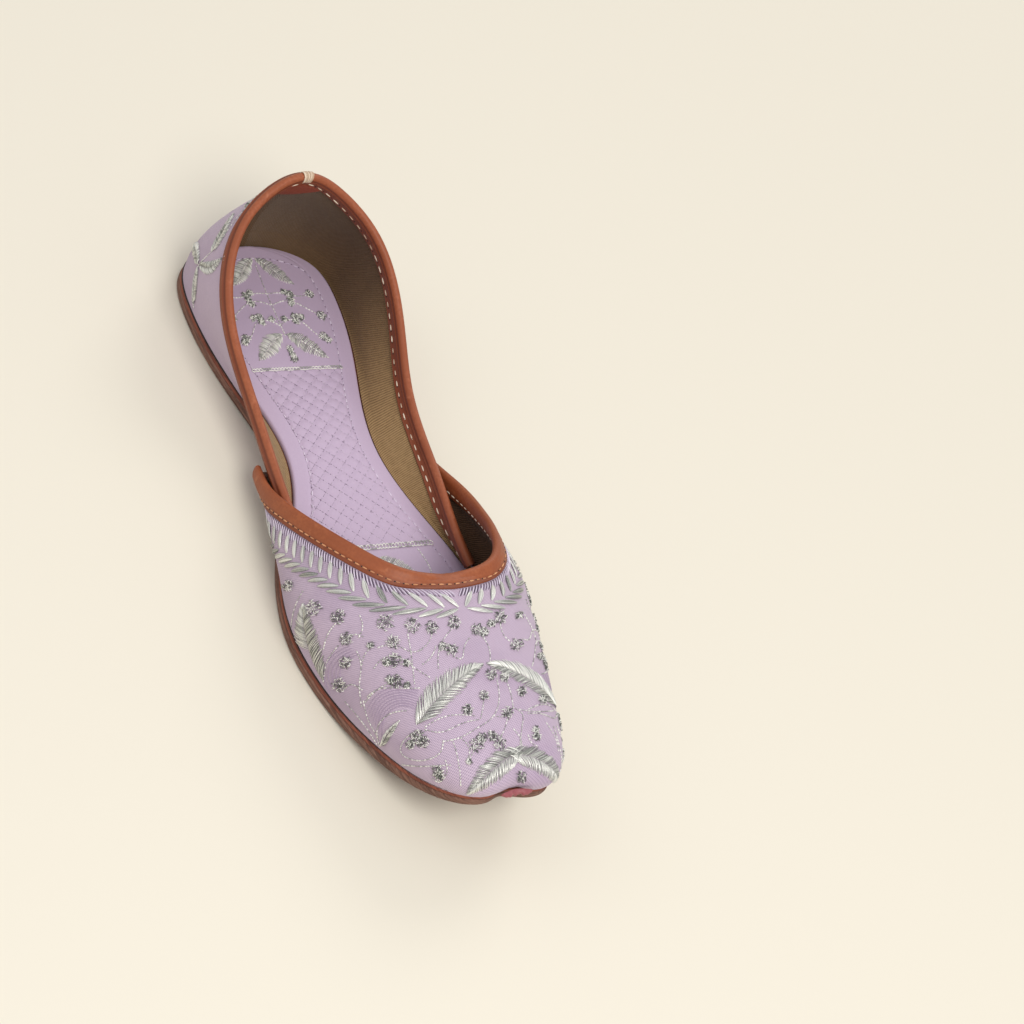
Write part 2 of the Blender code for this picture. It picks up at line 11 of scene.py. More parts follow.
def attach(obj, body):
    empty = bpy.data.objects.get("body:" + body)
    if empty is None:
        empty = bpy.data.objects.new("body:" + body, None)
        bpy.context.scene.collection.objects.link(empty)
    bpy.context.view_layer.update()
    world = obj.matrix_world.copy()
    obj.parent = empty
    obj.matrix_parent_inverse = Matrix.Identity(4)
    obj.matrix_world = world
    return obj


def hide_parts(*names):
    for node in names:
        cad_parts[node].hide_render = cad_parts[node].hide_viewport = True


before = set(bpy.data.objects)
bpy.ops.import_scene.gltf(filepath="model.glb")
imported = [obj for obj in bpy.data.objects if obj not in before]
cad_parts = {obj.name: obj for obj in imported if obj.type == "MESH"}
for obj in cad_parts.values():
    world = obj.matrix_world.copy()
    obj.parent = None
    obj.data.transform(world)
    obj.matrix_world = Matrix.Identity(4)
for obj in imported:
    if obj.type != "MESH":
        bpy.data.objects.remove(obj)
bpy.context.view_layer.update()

forward = np.array([1.0, 0.0, 0.0])
upward = np.array([0.0, 0.0, 1.0])
mirrorY = np.array([1.0, -1.0, 1.0])
print("frame loaded")

# The last: named sizes and tables that the solids use too, in metres and in shares of the sole
last = {
    "soleLength": 0.252, "heelWidth": 0.064, "waistWidth": 0.044, "ballWidth": 0.0824, "toeWidth": 0.0470,
    "toeSpring": 0.025, "springFrom": 0.25, "archLift": 0.0012, "archFrom": -0.25, "archRun": 0.33,
    "notchDepth": 0.0040, "notchHalf": 0.0065, "notchFrom": 0.44, "notchRun": 0.06,
    "outsoleThick": 0.0034, "midsoleThick": 0.0016, "insoleThick": 0.0016, "insoleCrown": 0.0007,
    "insoleInset": 0.0038, "wall": 0.0016, "collarHeight": 0.0585, "sideHeight": 0.0172,
    "instepHeight": 0.0425, "toeHeight": 0.0372, "featherInset": 0.0015, "lapInset": 0.0004,
    "lapFrom": -0.20, "lapRun": 0.13, "fallEase": 0.2, "clearance": 0.0003, "seatTrim": 0.0003,
}
span = last["soleLength"]
stack = last["outsoleThick"] + last["midsoleThick"] + 2 * last["clearance"]

# share of the length, which width it follows, half width as its share
soleOutline = (
    (-0.500, "heelWidth", 0.0), (-0.492, "heelWidth", 0.213), (-0.455, "heelWidth", 0.434),
    (-0.380, "heelWidth", 0.500), (-0.250, "heelWidth", 0.434), (-0.100, "waistWidth", 0.500),
    (0.050, "ballWidth", 0.418), (0.180, "ballWidth", 0.500), (0.280, "ballWidth", 0.442),
    (0.380, "toeWidth", 0.618), (0.450, "toeWidth", 0.492), (0.488, "toeWidth", 0.335),
    (0.500, "toeWidth", 0.0),
)
# share of the length, share of the ball width, share of the climb from side to heel
collarTable = (
    (-0.440, 0.0, 1.0), (-0.424, 0.180, 0.880), (-0.374, 0.340, 0.665), (-0.284, 0.410, 0.355),
    (-0.164, 0.380, 0.090), (-0.034, 0.376, 0.0), (0.070, 0.374, -0.060), (0.130, 0.405, -0.125),
    (0.154, 0.442, -0.190),
)
# share of the length, share of the ball width, share of the instep height
throatTable = (
    (-0.078, 0.408, 0.262), (-0.040, 0.432, 0.345), (0.003, 0.436, 0.478), (0.069, 0.402, 0.700),
    (0.133, 0.338, 0.905), (0.180, 0.235, 1.010), (0.199, 0.0, 1.0),
)
ridgeTable = ((0.199, 1.0), (0.265, 1.05), (0.340, 0.95), (0.420, 0.60))
# share of the way round; then rise, lean in degrees, reach and slope in degrees of the wall's curve
quarterTable = (
    (0.00, 0.42, 7.0, 0.36, 68.0), (0.20, 0.40, 7.0, 0.36, 72.0), (0.45, 0.38, 14.0, 0.36, 86.0),
    (0.70, 0.40, 50.0, 0.36, 78.0), (0.85, 0.40, 18.0, 0.36, 80.0), (1.00, 0.36, 0.0, 0.36, 60.0),
)
# share of the sole, share of the edge and ridge; then the same four
vampTable = (
    (0.00, 0.00, 0.45, 56.0, 0.34, 84.0), (0.12, 0.26, 0.70, 70.0, 0.36, 80.0),
    (0.26, 0.54, 0.54, 38.0, 0.40, 62.0), (0.38, 0.78, 0.52, 17.0, 0.46, 34.0),
    (0.50, 1.00, 0.52, 11.0, 0.52, 0.0), (0.66, 1.42, 0.52, 17.0, 0.55, 0.0),
    (0.82, 1.74, 0.46, 25.0, 0.53, 0.0), (1.00, 2.00, 0.38, 24.0, 0.44, 0.0),
)
vampFrom, tailTo = -0.078, 0.156
fine = 400


def smoothStep(value):
    value = np.clip(value, 0.0, 1.0)
    return value * value * (3.0 - 2.0 * value)


def cubic(knots, values, at):  # natural cubic spline
    knots, values, at = (np.asarray(part, float) for part in (knots, values, at))
    step = np.diff(knots)
    system = np.eye(len(knots))
    bend = np.zeros_like(values)
    for i in range(1, len(knots) - 1):
        system[i, i - 1:i + 2] = step[i - 1], 2 * (step[i - 1] + step[i]), step[i]
        bend[i] = 6 * ((values[i + 1] - values[i]) / step[i] - (values[i] - values[i - 1]) / step[i - 1])
    curvature = np.linalg.solve(system, bend)
    i = np.clip(np.searchsorted(knots, at) - 1, 0, len(knots) - 2)
    width, done, left = step[i], at - knots[i], knots[i + 1] - at
    if values.ndim > 1:
        width, done, left = width[:, None], done[:, None], left[:, None]
    return (
        (curvature[i] * left ** 3 + curvature[i + 1] * done ** 3) / (6 * width)
        + (values[i] / width - curvature[i] * width / 6) * left
        + (values[i + 1] / width - curvature[i + 1] * width / 6) * done
    )


def lengthAlong(points):
    return np.concatenate([[0.0], np.cumsum(np.linalg.norm(np.diff(points, axis=0), axis=1))])


def unitRows(rows):
    return rows / np.linalg.norm(rows, axis=-1)[..., None]


def readAtShares(points, shares, table=None):  # the points themselves, or a table with a row for each
    along = lengthAlong(points)
    at = np.asarray(shares) * along[-1]
    table = points if table is None else table
    return np.column_stack([np.interp(at, along, column) for column in table.T])


def curveFromCentre(points, endsOnCentre):
    points = np.asarray(points, float)
    before = points[2:0:-1] * mirrorY
    after = points[-2:-4:-1] * mirrorY if endsOnCentre else points[:0]
    whole = np.vstack([before, points, after])
    along = lengthAlong(whole)
    return cubic(along, whole, np.linspace(along[len(before)], along[len(before) + len(points) - 1], fine))


def soleRise(x):
    share = x / span
    arch = np.sin(math.pi * np.clip((share - last["archFrom"]) / last["archRun"], 0.0, 1.0)) ** 2
    spring = np.clip((share - last["springFrom"]) / (0.5 - last["springFrom"]), 0.0, 1.0) ** 2
    return last["archLift"] * arch + last["toeSpring"] * spring


def notchAt(x, y):
    atToe = smoothStep((x / span - last["notchFrom"]) / last["notchRun"])
    return last["notchDepth"] * atToe * np.exp(-((y / last["notchHalf"]) ** 2))


def outlineCurve(inset):
    rows = [(share * span, last[width] * half, 0.0) for share, width, half in soleOutline]
    base = curveFromCentre(rows, True)
    run = np.gradient(base, axis=0)
    outward = unitRows(np.column_stack([-run[:, 1], run[:, 0], np.zeros(fine)]))
    outward[[0, -1], 1] = 0.0
    points = base - outward * inset
    points[[0, -1], 1] = 0.0
    points[:, 1] = np.maximum(points[:, 1], 0.0)
    return points, outward


def outlineAt(inset, shares):
    points, outward = outlineCurve(inset)
    return readAtShares(points, shares), unitRows(readAtShares(points, shares, outward))


def outlineShare(lengthShare):
    points, _ = outlineCurve(0.0)
    along = lengthAlong(points)
    return float(np.interp(lengthShare * span, points[:, 0], along / along[-1]))


def featherHeight(x):
    return soleRise(x) + stack


def bezierWall(foot, edge, outward, shape, steps):
    rise, lean, reach, slope = (column[:, None] for column in shape.T)
    tall = np.linalg.norm(edge - foot, axis=1)[:, None]
    first = foot + rise * tall * (upward * np.cos(lean) + outward * np.sin(lean))
    second = edge + reach * tall * (outward * np.cos(slope) - upward * np.sin(slope))
    t = steps[None, :, None]
    foot, first, second, edge = (corner[:, None, :] for corner in (foot, first, second, edge))
    return foot * (1 - t) ** 3 + first * 3 * t * (1 - t) ** 2 + second * 3 * t ** 2 * (1 - t) + edge * t ** 3


def sectionShapes(table, at, column):
    table = np.array(table)
    shape = cubic(table[:, 0], table[:, column:], at)
    shape[:, [1, 3]] = np.radians(shape[:, [1, 3]])
    return shape


def collarEdge():
    climb = last["collarHeight"] - last["sideHeight"]
    rows = [(x * span, y * last["ballWidth"], last["sideHeight"] + z * climb) for x, y, z in collarTable]
    return curveFromCentre(rows, False)


def throatEdge():
    rows = [(x * span, y * last["ballWidth"], z * last["instepHeight"]) for x, y, z in reversed(throatTable)]
    return curveFromCentre(rows, False)[::-1]


def ridgeLine():
    rows = np.array(ridgeTable)
    along = np.linspace(rows[0, 0], rows[-1, 0], fine)
    climb = last["instepHeight"] - last["toeHeight"]
    height = last["toeHeight"] + climb * cubic(rows[:, 0], rows[:, 1], along)
    return np.column_stack([along * span, np.zeros(fine), height])


def ridgeFall(stations):
    ridge = ridgeLine()
    fall = np.arctan2(-np.gradient(ridge[:, 2]), np.gradient(ridge[:, 0]))
    fall *= smoothStep(np.linspace(0, 1, fine) / last["fallEase"])
    return np.interp(np.clip(stations - 1, 0, 1), lengthAlong(ridge) / lengthAlong(ridge)[-1], fall)


def quarterWall(stations, steps):  # stations run from the back seam to the tail inside the vamp
    stations = np.asarray(stations, float)
    foot, outward = outlineAt(last["featherInset"], stations * outlineShare(tailTo))
    lap = smoothStep((foot[:, 0] / span - last["lapFrom"]) / last["lapRun"])
    foot = foot - outward * (last["lapInset"] * lap)[:, None]
    foot[:, 2] = featherHeight(foot[:, 0]) - last["seatTrim"]
    edge = readAtShares(collarEdge(), stations)
    return bezierWall(foot, edge, outward, sectionShapes(quarterTable, stations, 1), steps)


def vampWall(stations, steps):  # stations 0 to 1 end on the throat edge, 1 to 2 on the ridge
    table = np.array(vampTable)
    stations = np.asarray(stations, float)
    along = np.interp(stations, table[:, 1], table[:, 0])
    start = outlineShare(vampFrom)
    foot, outward = outlineAt(last["featherInset"], start + (1 - start) * along)
    foot[:, 2] = featherHeight(foot[:, 0]) - last["seatTrim"]
    throat = readAtShares(throatEdge(), np.clip(stations, 0, 1))
    ridge = readAtShares(ridgeLine(), np.clip(stations - 1, 0, 1))
    edge = np.where(stations[:, None] <= 1, throat, ridge)
    shape = sectionShapes(vampTable, along, 2)
    shape[:, 3] += ridgeFall(stations) * outward[:, 0]
    grid = bezierWall(foot, edge, outward, shape, steps)
    grid[..., 0] -= notchAt(foot[:, 0], foot[:, 1])[:, None] * (1 - steps) ** 4
    return grid


# Mesh helpers
def linked(name, data):
    obj = bpy.data.objects.new(name, data)
    bpy.context.scene.collection.objects.link(obj)
    return obj


def newObject(name, vertices, faces):
    mesh = bpy.data.meshes.new(name)
    mesh.from_pydata([tuple(map(float, vertex)) for vertex in vertices], [], faces)
    mesh.validate()
    return linked(name, mesh)


def weldAndFaceOut(obj):
    tidy = bmesh.new()
    tidy.from_mesh(obj.data)
    bmesh.ops.remove_doubles(tidy, verts=tidy.verts, dist=1e-6)
    bmesh.ops.recalc_face_normals(tidy, faces=tidy.faces)
    tidy.to_mesh(obj.data)
    tidy.free()


def faceToward(obj, aim):  # turns an open sheet over when most of it faces away from the aim
    if sum(face.normal.dot(aim(face.center)) * face.area for face in obj.data.polygons) < 0:
        obj.data.flip_normals()


def bakeModifiers(obj):
    graph = bpy.context.evaluated_depsgraph_get()
    mesh = bpy.data.meshes.new_from_object(obj.evaluated_get(graph), depsgraph=graph)
    obj.modifiers.clear()
    obj.data = mesh
    return obj


def shadeSmooth(obj, angle):
    obj.data.shade_smooth()
    obj.data.set_sharp_from_angle(angle=math.radians(angle))


def closedBody(name, vertices, faces, angle):
    body = newObject(name, vertices, faces)
    weldAndFaceOut(body)
    shadeSmooth(body, angle)
    return body


def bothSides(half):  # rows from the far side through the middle plane to the near side
    half[0, :, 1] = 0.0
    return np.concatenate([(half[1:] * mirrorY)[::-1], half])


def rimOf(rows, columns):  # corners of a grid in order round its edge
    rim = [i * columns for i in range(rows)] + [(rows - 1) * columns + j for j in range(1, columns)]
    rim += [i * columns + columns - 1 for i in range(rows - 2, -1, -1)]
    return rim + list(range(columns - 2, 0, -1))


def gridFaces(rows, columns):
    return [(i * columns + j, (i + 1) * columns + j, (i + 1) * columns + j + 1, i * columns + j + 1)
            for i in range(rows - 1) for j in range(columns - 1)]


def finishPiece(obj, material, slotName=None, *replaced):
    obj.data.materials.clear()
    obj.data.materials.append(material)
    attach(obj, "root")
    if replaced:
        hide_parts(*replaced)


# Node helpers for shaders and for geometry
def plug(tree, item, target):  # wires a socket in, or sets a plain value
    item = item.socket if isinstance(item, Value) else item
    if isinstance(item, bpy.types.NodeSocket):
        tree.links.new(item, target)
    else:
        target.default_value = item


def addNode(tree, kind, settings, sockets):
    node = tree.nodes.new(kind)
    for key, setting in settings.items():
        setattr(node, key, setting)
    for key, item in sockets.items():
        plug(tree, item, node.inputs[key])
    return node


# Shader maths written as plain expressions
class Value:
    def __init__(self, tree, socket):
        self.tree, self.socket = tree, socket

    def apply(self, operation, *operands):
        node = addNode(self.tree, "ShaderNodeMath", {"operation": operation}, dict(enumerate(operands)))
        return Value(self.tree, node.outputs[0])

    def __add__(self, other):
        return self.apply("ADD", self, other)

    def __radd__(self, other):
        return self.apply("ADD", other, self)

    def __sub__(self, other):
        return self.apply("SUBTRACT", self, other)

    def __rsub__(self, other):
        return self.apply("SUBTRACT", other, self)

    def __mul__(self, other):
        return self.apply("MULTIPLY", self, other)

    def __abs__(self):
        return self.apply("ABSOLUTE", self)

    def sine(self):
        return self.apply("SINE", self)

    def smooth(self, low, high):
        sockets = {"Value": self, "From Min": low, "From Max": high}
        node = addNode(self.tree, "ShaderNodeMapRange", {"interpolation_type": "SMOOTHSTEP"}, sockets)
        return Value(self.tree, node.outputs[0])


class Finish:
    def __init__(self, name):
        self.material = bpy.data.materials.new(name)
        self.material.use_nodes = True
        self.tree = self.material.node_tree
        self.shader = self.tree.nodes["Principled BSDF"]

    def node(self, kind, settings, sockets, output=0):
        return Value(self.tree, addNode(self.tree, kind, settings, sockets).outputs[output])

    def place(self):
        return self.node("ShaderNodeTexCoord", {}, {}, "Object")

    def onSurface(self):
        return self.node("ShaderNodeUVMap", {"uv_map": "millimetres"}, {})

    def parts(self, vector):
        node = addNode(self.tree, "ShaderNodeSeparateXYZ", {}, {0: vector})
        return [Value(self.tree, output) for output in node.outputs]

    def scaled(self, vector, scale):
        return self.node("ShaderNodeVectorMath", {"operation": "MULTIPLY"}, {0: vector, 1: scale})

    def noise(self, vector, scale, detail=2.0, roughness=0.5):
        sockets = {"Vector": vector, "Scale": scale, "Detail": detail, "Roughness": roughness}
        return self.node("ShaderNodeTexNoise", {}, sockets)

    def cells(self, vector, scale):
        return self.node("ShaderNodeTexVoronoi", {}, {"Vector": vector, "Scale": scale})

    def blend(self, factor, first, second):
        return self.node("ShaderNodeMix", {"data_type": "RGBA"}, {0: factor, 6: first, 7: second}, 2)

    def tone(self, name):
        return self.node("ShaderNodeAttribute", {"attribute_name": name}, {}, "Fac")

    def bump(self, height, distance, strength):
        sockets = {"Height": height, "Distance": distance, "Strength": strength}
        return self.node("ShaderNodeBump", {}, sockets)

    def finish(self, **sockets):
        names = {"colour": "Base Color", "roughness": "Roughness", "metallic": "Metallic",
                 "normal": "Normal", "sheen": "Sheen Weight", "sheenRoughness": "Sheen Roughness",
                 "specular": "Specular IOR Level"}
        for key, item in sockets.items():
            plug(self.tree, item, self.shader.inputs[names[key]])
        return self.material


def shade(red, green, blue):  # screen colour, 0 to 255, to the shader's linear colour
    linear = [((c / 255 + 0.055) / 1.055) ** 2.4 if c > 10 else c / 255 / 12.92 for c in (red, green, blue)]
    return (*linear, 1.0)


def twillCloth(name, light, dark, shadow):
    f = Finish(name)
    u, v, _ = f.parts(f.onSurface())
    pitch = 0.62
    weft = ((u + v) * (math.tau / pitch)).sine()
    warp = ((u - v * 0.62) * (math.tau / (pitch * 1.25))).sine()
    weave = weft * 0.34 + warp * 0.22 + 0.5
    place = f.place()
    slub = f.noise(place, 900.0, 2.0)
    cloud = f.noise(place, 38.0, 3.0)
    height = weave + slub * 0.35
    colour = f.blend(height.smooth(0.15, 0.95), dark, light)
    # Painted shade: noise patches are mixed toward the shadow colour, standing in for the shade of puckers
    # round the embroidery.
    colour = f.blend(cloud.smooth(0.46, 0.72) * 0.34, colour, shadow)
    rough = 0.62 + slub * 0.2
    pucker = f.noise(place, 125.0, 2.0) * 2.4
    normal = f.bump(height + pucker, 0.00016, 0.75)
    return f.finish(colour=colour, roughness=rough, normal=normal, sheen=0.22, sheenRoughness=0.35,
                    specular=0.35)


def ribbedLining(name, light, dark, heelShade):
    f = Finish(name)
    place = f.place()
    x, y, z = f.parts(place)
    wander = f.noise(place, 60.0, 2.0)
    slope = x - (z - abs(y)) * 0.95 + wander * 0.0006
    ribs = (slope * (math.tau / 0.0009)).sine() * 0.5 + 0.5
    slub = f.noise(place, 700.0, 2.0)
    streak = f.noise(f.scaled(place, (30.0, 30.0, 4.0)), 3.0, 3.0)
    height = ribs * 0.6 + slub * 0.6
    colour = f.blend(height.smooth(-0.1, 1.1), dark, light)
    # Painted shade: toward the heel, where the collar shades the inside, the colour is mixed toward the
    # deeper colour; the streak noise adds to the same blend.
    shadeTowardHeel = 1.0 - x.smooth(-0.11, -0.02)
    colour = f.blend((shadeTowardHeel * 0.55 + streak * 0.2).smooth(0.05, 0.95), colour, heelShade)
    normal = f.bump(height, 0.00030, 0.9)
    return f.finish(colour=colour, roughness=0.72, normal=normal, sheen=0.12, sheenRoughness=0.4,
                    specular=0.3)


def softLining(name, light, shadow):
    f = Finish(name)
    place = f.place()
    grain = f.cells(place, 1500.0)
    pore = f.noise(place, 1800.0, 2.0)
    cloud = f.noise(place, 30.0, 3.0)
    height = grain * 0.5 + pore * 0.4
    colour = f.blend(cloud.smooth(0.4, 0.75) * 0.45, light, shadow)
    colour = f.blend(height.smooth(0.2, 0.7) * 0.12, shadow, colour)
    normal = f.bump(height, 0.00006, 0.6)
    return f.finish(colour=colour, roughness=0.5 + pore * 0.15, normal=normal, sheen=0.1, specular=0.4)


def grainLeather(name, light, dark, worn, shadeStrength=0.0, shadeRise=(0.0, 0.0), end=(0.0, 0.0)):
    f = Finish(name)
    place = f.place()
    grain = f.cells(place, 900.0)
    fineGrain = f.noise(place, 1700.0, 3.0, 0.6)
    cloud = f.noise(place, 70.0, 4.0, 0.6)
    height = grain * 0.55 + fineGrain * 0.5
    colour = f.blend(cloud.smooth(0.34, 0.68), dark, light)
    colour = f.blend(height.smooth(0.25, 0.75) * 0.35, dark, colour)
    colour = f.blend(f.noise(place, 240.0, 3.0).smooth(0.62, 0.8) * 0.35, colour, worn)
    # Painted shade by depth below the binding's edge: below the rounded top the colour is mixed toward a
    # dark brown shade colour, fully in the first depth range and half as much past the second.
    if shadeStrength:
        depth = f.tone("depth")
        band = depth.smooth(*shadeRise) - depth.smooth(*end) * 0.5
        colour = f.blend(band * shadeStrength, colour, shade(96, 44, 26))
    normal = f.bump(height, 0.00010, 0.7)
    return f.finish(colour=colour, roughness=0.40 + fineGrain * 0.18, normal=normal, specular=0.36)


def cutLeatherEdge(name, light, dark, pale):
    f = Finish(name)
    place = f.place()
    layers = f.noise(f.scaled(place, (60.0, 60.0, 1900.0)), 1.0, 4.0, 0.65)
    fibre = f.noise(f.scaled(place, (420.0, 420.0, 2600.0)), 1.0, 3.0, 0.6)
    blotch = f.noise(place, 55.0, 3.0)
    speck = f.noise(place, 1300.0, 2.0)
    colour = f.blend(layers.smooth(0.35, 0.68), dark, light)
    colour = f.blend(fibre.smooth(0.5, 0.75) * 0.5, colour, pale)
    colour = f.blend(blotch.smooth(0.5, 0.72) * 0.4, colour, dark)
    height = layers * 0.6 + fibre * 0.4 + speck * 0.3
    normal = f.bump(height, 0.00022, 0.9)
    return f.finish(colour=colour, roughness=0.62 + speck * 0.25, normal=normal, specular=0.3)


def metalThread(name, light, dark, metallic=0.75, roughness=0.34):
    f = Finish(name)
    place = f.place()
    tone = f.tone("tone")
    twist = f.noise(place, 3600.0, 2.0)
    colour = f.blend((tone * 0.75 + twist * 0.35).smooth(0.12, 0.85), dark, light)
    normal = f.bump(twist, 0.00004, 0.5)
    return f.finish(colour=colour, roughness=roughness + twist * 0.2, metallic=metallic, normal=normal)


def spunThread(name, light, dark):
    f = Finish(name)
    place = f.place()
    tone = f.tone("tone")
    fuzz = f.noise(place, 2600.0, 2.0)
    colour = f.blend((tone * 0.6 + fuzz * 0.5).smooth(0.1, 0.9), dark, light)
    normal = f.bump(fuzz, 0.00005, 0.6)
    return f.finish(colour=colour, roughness=0.65, normal=normal, sheen=0.15, specular=0.3)


lavenderTwill = twillCloth("lavender_twill", shade(203, 184, 202), shade(162, 142, 166),
                           shade(146, 124, 152))
# The third colour of each lining is the painted shade toward the heel.
goldenLining = ribbedLining("golden_lining", shade(170, 138, 96), shade(112, 86, 56), shade(84, 62, 42))
# The vamp's lining is the same ribbed lining in darker colours, painted shade for the inside of the toe.
shadedLining = ribbedLining("shaded_lining", shade(112, 82, 60), shade(66, 46, 34), shade(48, 32, 24))
lavenderSkin = softLining("lavender_skin", shade(215, 196, 213), shade(188, 168, 192))
# Both bindings carry painted shade by depth: the collar's rust leather darkens just below its rounded top,
# and the throat's tan leather darkens on the lower part of its band.
rustLeather = grainLeather("rust_leather", shade(186, 108, 72), shade(146, 78, 48), shade(204, 132, 96),
                           0.85, (-0.0007, 0.0001), (0.0004, 0.0012))
tanLeather = grainLeather("tan_leather", shade(180, 104, 62), shade(144, 76, 44), shade(198, 126, 84),
                          0.50, (0.0022, 0.0037), (0.0060, 0.0070))
patchLeather = grainLeather("patch_leather", shade(182, 92, 56), shade(142, 64, 38), shade(200, 118, 80))
foldLeather = grainLeather("fold_leather", shade(200, 134, 136), shade(148, 78, 84), shade(220, 168, 166))
soleEdge = cutLeatherEdge("sole_edge", shade(136, 99, 84), shade(90, 62, 52), shade(164, 130, 112))
soleTopEdge = cutLeatherEdge("sole_top_edge", shade(150, 86, 66), shade(102, 54, 42), shade(168, 108, 84))
# A brighter, less metallic copy of the silver thread for the insole work: painted light where the inside of
# the shoe gives dark reflections.
brightenedSilver = metalThread("brightened_silver", shade(242, 242, 234), shade(112, 116, 108), 0.30, 0.42)
silverThread = metalThread("silver_thread", shade(236, 236, 230), shade(96, 100, 94))
# The dark thread is painted shade: sunk between the ticks, and laid as short beads in the needle holes of
# the quilting and the insole's edge.
shadeThread = spunThread("shade_thread", shade(130, 112, 134), shade(80, 66, 86))
creamThread = spunThread("cream_thread", shade(238, 222, 200), shade(190, 160, 130))
lilacThread = spunThread("lilac_thread", shade(224, 212, 228), shade(160, 142, 170))
tanThread = spunThread("tan_thread", shade(218, 158, 112), shade(156, 96, 62))
duskThread = spunThread("dusk_thread", shade(178, 158, 182), shade(134, 114, 140))
quiltThread = spunThread("quilt_thread", shade(196, 180, 198), shade(128, 112, 134))
# Painted shade: very dark, for the needle holes of the bindings and the gap under the upper.
holeShade = spunThread("hole_and_gap_shade", shade(58, 34, 30), shade(30, 18, 18))
print("finishes mixed")


# Cloth unwrapped so that its UV map is in millimetres
def unwrapInMillimetres(obj):
    bpy.context.view_layer.objects.active = obj
    for other in bpy.context.selected_objects:
        other.select_set(False)
    obj.select_set(True)
    layer = obj.data.uv_layers.new(name="millimetres")
    bpy.ops.object.mode_set(mode="EDIT")
    bpy.ops.mesh.select_all(action="SELECT")
    bpy.ops.uv.unwrap(method="ANGLE_BASED", margin=0.0)
    bpy.ops.object.mode_set(mode="OBJECT")
    layer = obj.data.uv_layers["millimetres"]
    flat = np.zeros(len(obj.data.loops) * 2)
    layer.data.foreach_get("uv", flat)
    flat = flat.reshape(-1, 2)
    area = 0.0
    for face in obj.data.polygons:
        corners = flat[list(face.loop_indices)]
        x, y = corners.T
        area += abs(np.dot(x, np.roll(y, -1)) - np.dot(y, np.roll(x, -1))) / 2
    real = sum(face.area for face in obj.data.polygons) * 1e6
    flat *= math.sqrt(real / area)
    layer.data.foreach_set("uv", flat.ravel())


# Upper: outer cloth and lining, each a closed shell, from the last's own walls
cloth = {"vampStations": 120, "vampSteps": 40, "quarterStations": 90, "quarterSteps": 20, "crowd": 1.2,
         "outer": 0.00085, "lining": 0.00070}


def wallSheet(name, wall, stations, steps):
    grid = wall(stations, steps)
    sheet = newObject(name, grid.reshape(-1, 3), gridFaces(*grid.shape[:2]))
    weldAndFaceOut(sheet)
    mirror = sheet.modifiers.new("other side", "MIRROR")
    mirror.use_axis = (False, True, False)
    mirror.merge_threshold = 0.00002
    bakeModifiers(sheet)
    weldAndFaceOut(sheet)
    centre = Vector(np.mean([vertex.co for vertex in sheet.data.vertices], axis=0))
    faceToward(sheet, lambda place: place - centre)
    unwrapInMillimetres(sheet)
    return sheet


def shellOf(name, sheet, thickness, side):
    shell = newObject(name, [], [])
    shell.data = sheet.data.copy()
    shell.data.name = name
    solidify = shell.modifiers.new("thickness", "SOLIDIFY")
    solidify.thickness = thickness
    solidify.offset = side
    bakeModifiers(shell)
    shadeSmooth(shell, 50)
    return shell


ease = np.linspace(0, 1, cloth["vampStations"] // 2 + 1) ** cloth["crowd"]
vampS = np.concatenate([1 - ease[::-1], 1 + ease[1:]])
vampT = np.linspace(0, 1, cloth["vampSteps"] + 1)
quarterS = np.linspace(0, 1, cloth["quarterStations"] + 1)
quarterT = np.linspace(0, 1, cloth["quarterSteps"] + 1)
vampSheet = wallSheet("vamp_sheet", vampWall, vampS, vampT)
quarterSheet = wallSheet("quarter_sheet", quarterWall, quarterS, quarterT)
for name, sheet, side, material, *replaced in (
    ("vamp_cloth", vampSheet, 1.0, lavenderTwill, "upper"),
    ("vamp_lining", vampSheet, -1.0, shadedLining),
    ("quarter_cloth", quarterSheet, 1.0, lavenderTwill),
    ("quarter_lining", quarterSheet, -1.0, goldenLining),
):
    thickness = cloth["outer"] if side > 0 else cloth["lining"]
    finishPiece(shellOf(name, sheet, thickness, side), material, "upper_fabric", *replaced)
print("upper built")


# Sole: two stacked layers with a softened edge, each a list of insets and heights
sole = {"steps": 150, "even": 0.45, "gap": 0.00012, "overlap": 0.0002}


def soleShares():
    even = np.linspace(0, 1, sole["steps"] + 1)
    return (1 - sole["even"]) * (1 - np.cos(math.pi * even)) / 2 + sole["even"] * even


def slabHalf(inset, height):
    half, _ = outlineAt(inset, soleShares())
    half[:, 0] -= notchAt(half[:, 0], half[:, 1])
    half[:, 2] = soleRise(half[:, 0]) + height
    return half


def layeredSlab(name, layers):
    steps = sole["steps"]
    ring = 2 * steps
    halves = [slabHalf(inset, height) for inset, height in layers]
    vertices = [corner for half in halves for corner in (*half, *(half[1:-1] * mirrorY)[::-1])]
    faces = []
    for low in range(0, ring * (len(layers) - 1), ring):
        high = low + ring
        faces += [(low + i, low + (i + 1) % ring, high + (i + 1) % ring, high + i) for i in range(ring)]
    for layer in (0, len(layers) - 1):
        half, start, centre = halves[layer], layer * ring, len(vertices)
        right = [start + i for i in range(steps + 1)]
        left = [start + (ring - i) % ring for i in range(steps + 1)]
        before = int(np.flatnonzero(half[:, 0] < half[-1, 0] - 0.001)[-1])
        for i in range(before):
            across = [right[i], right[i + 1], left[i + 1], left[i]]
            if i == before - 1:
                across.insert(2, centre)
            faces.append(tuple(dict.fromkeys(across)))
        for i in range(before, steps):
            faces += [(centre, right[i], right[i + 1]), (centre, left[i + 1], left[i])]
        vertices.append((half[before, 0], 0.0, half[before, 2]))
    return closedBody(name, vertices, faces, 35)


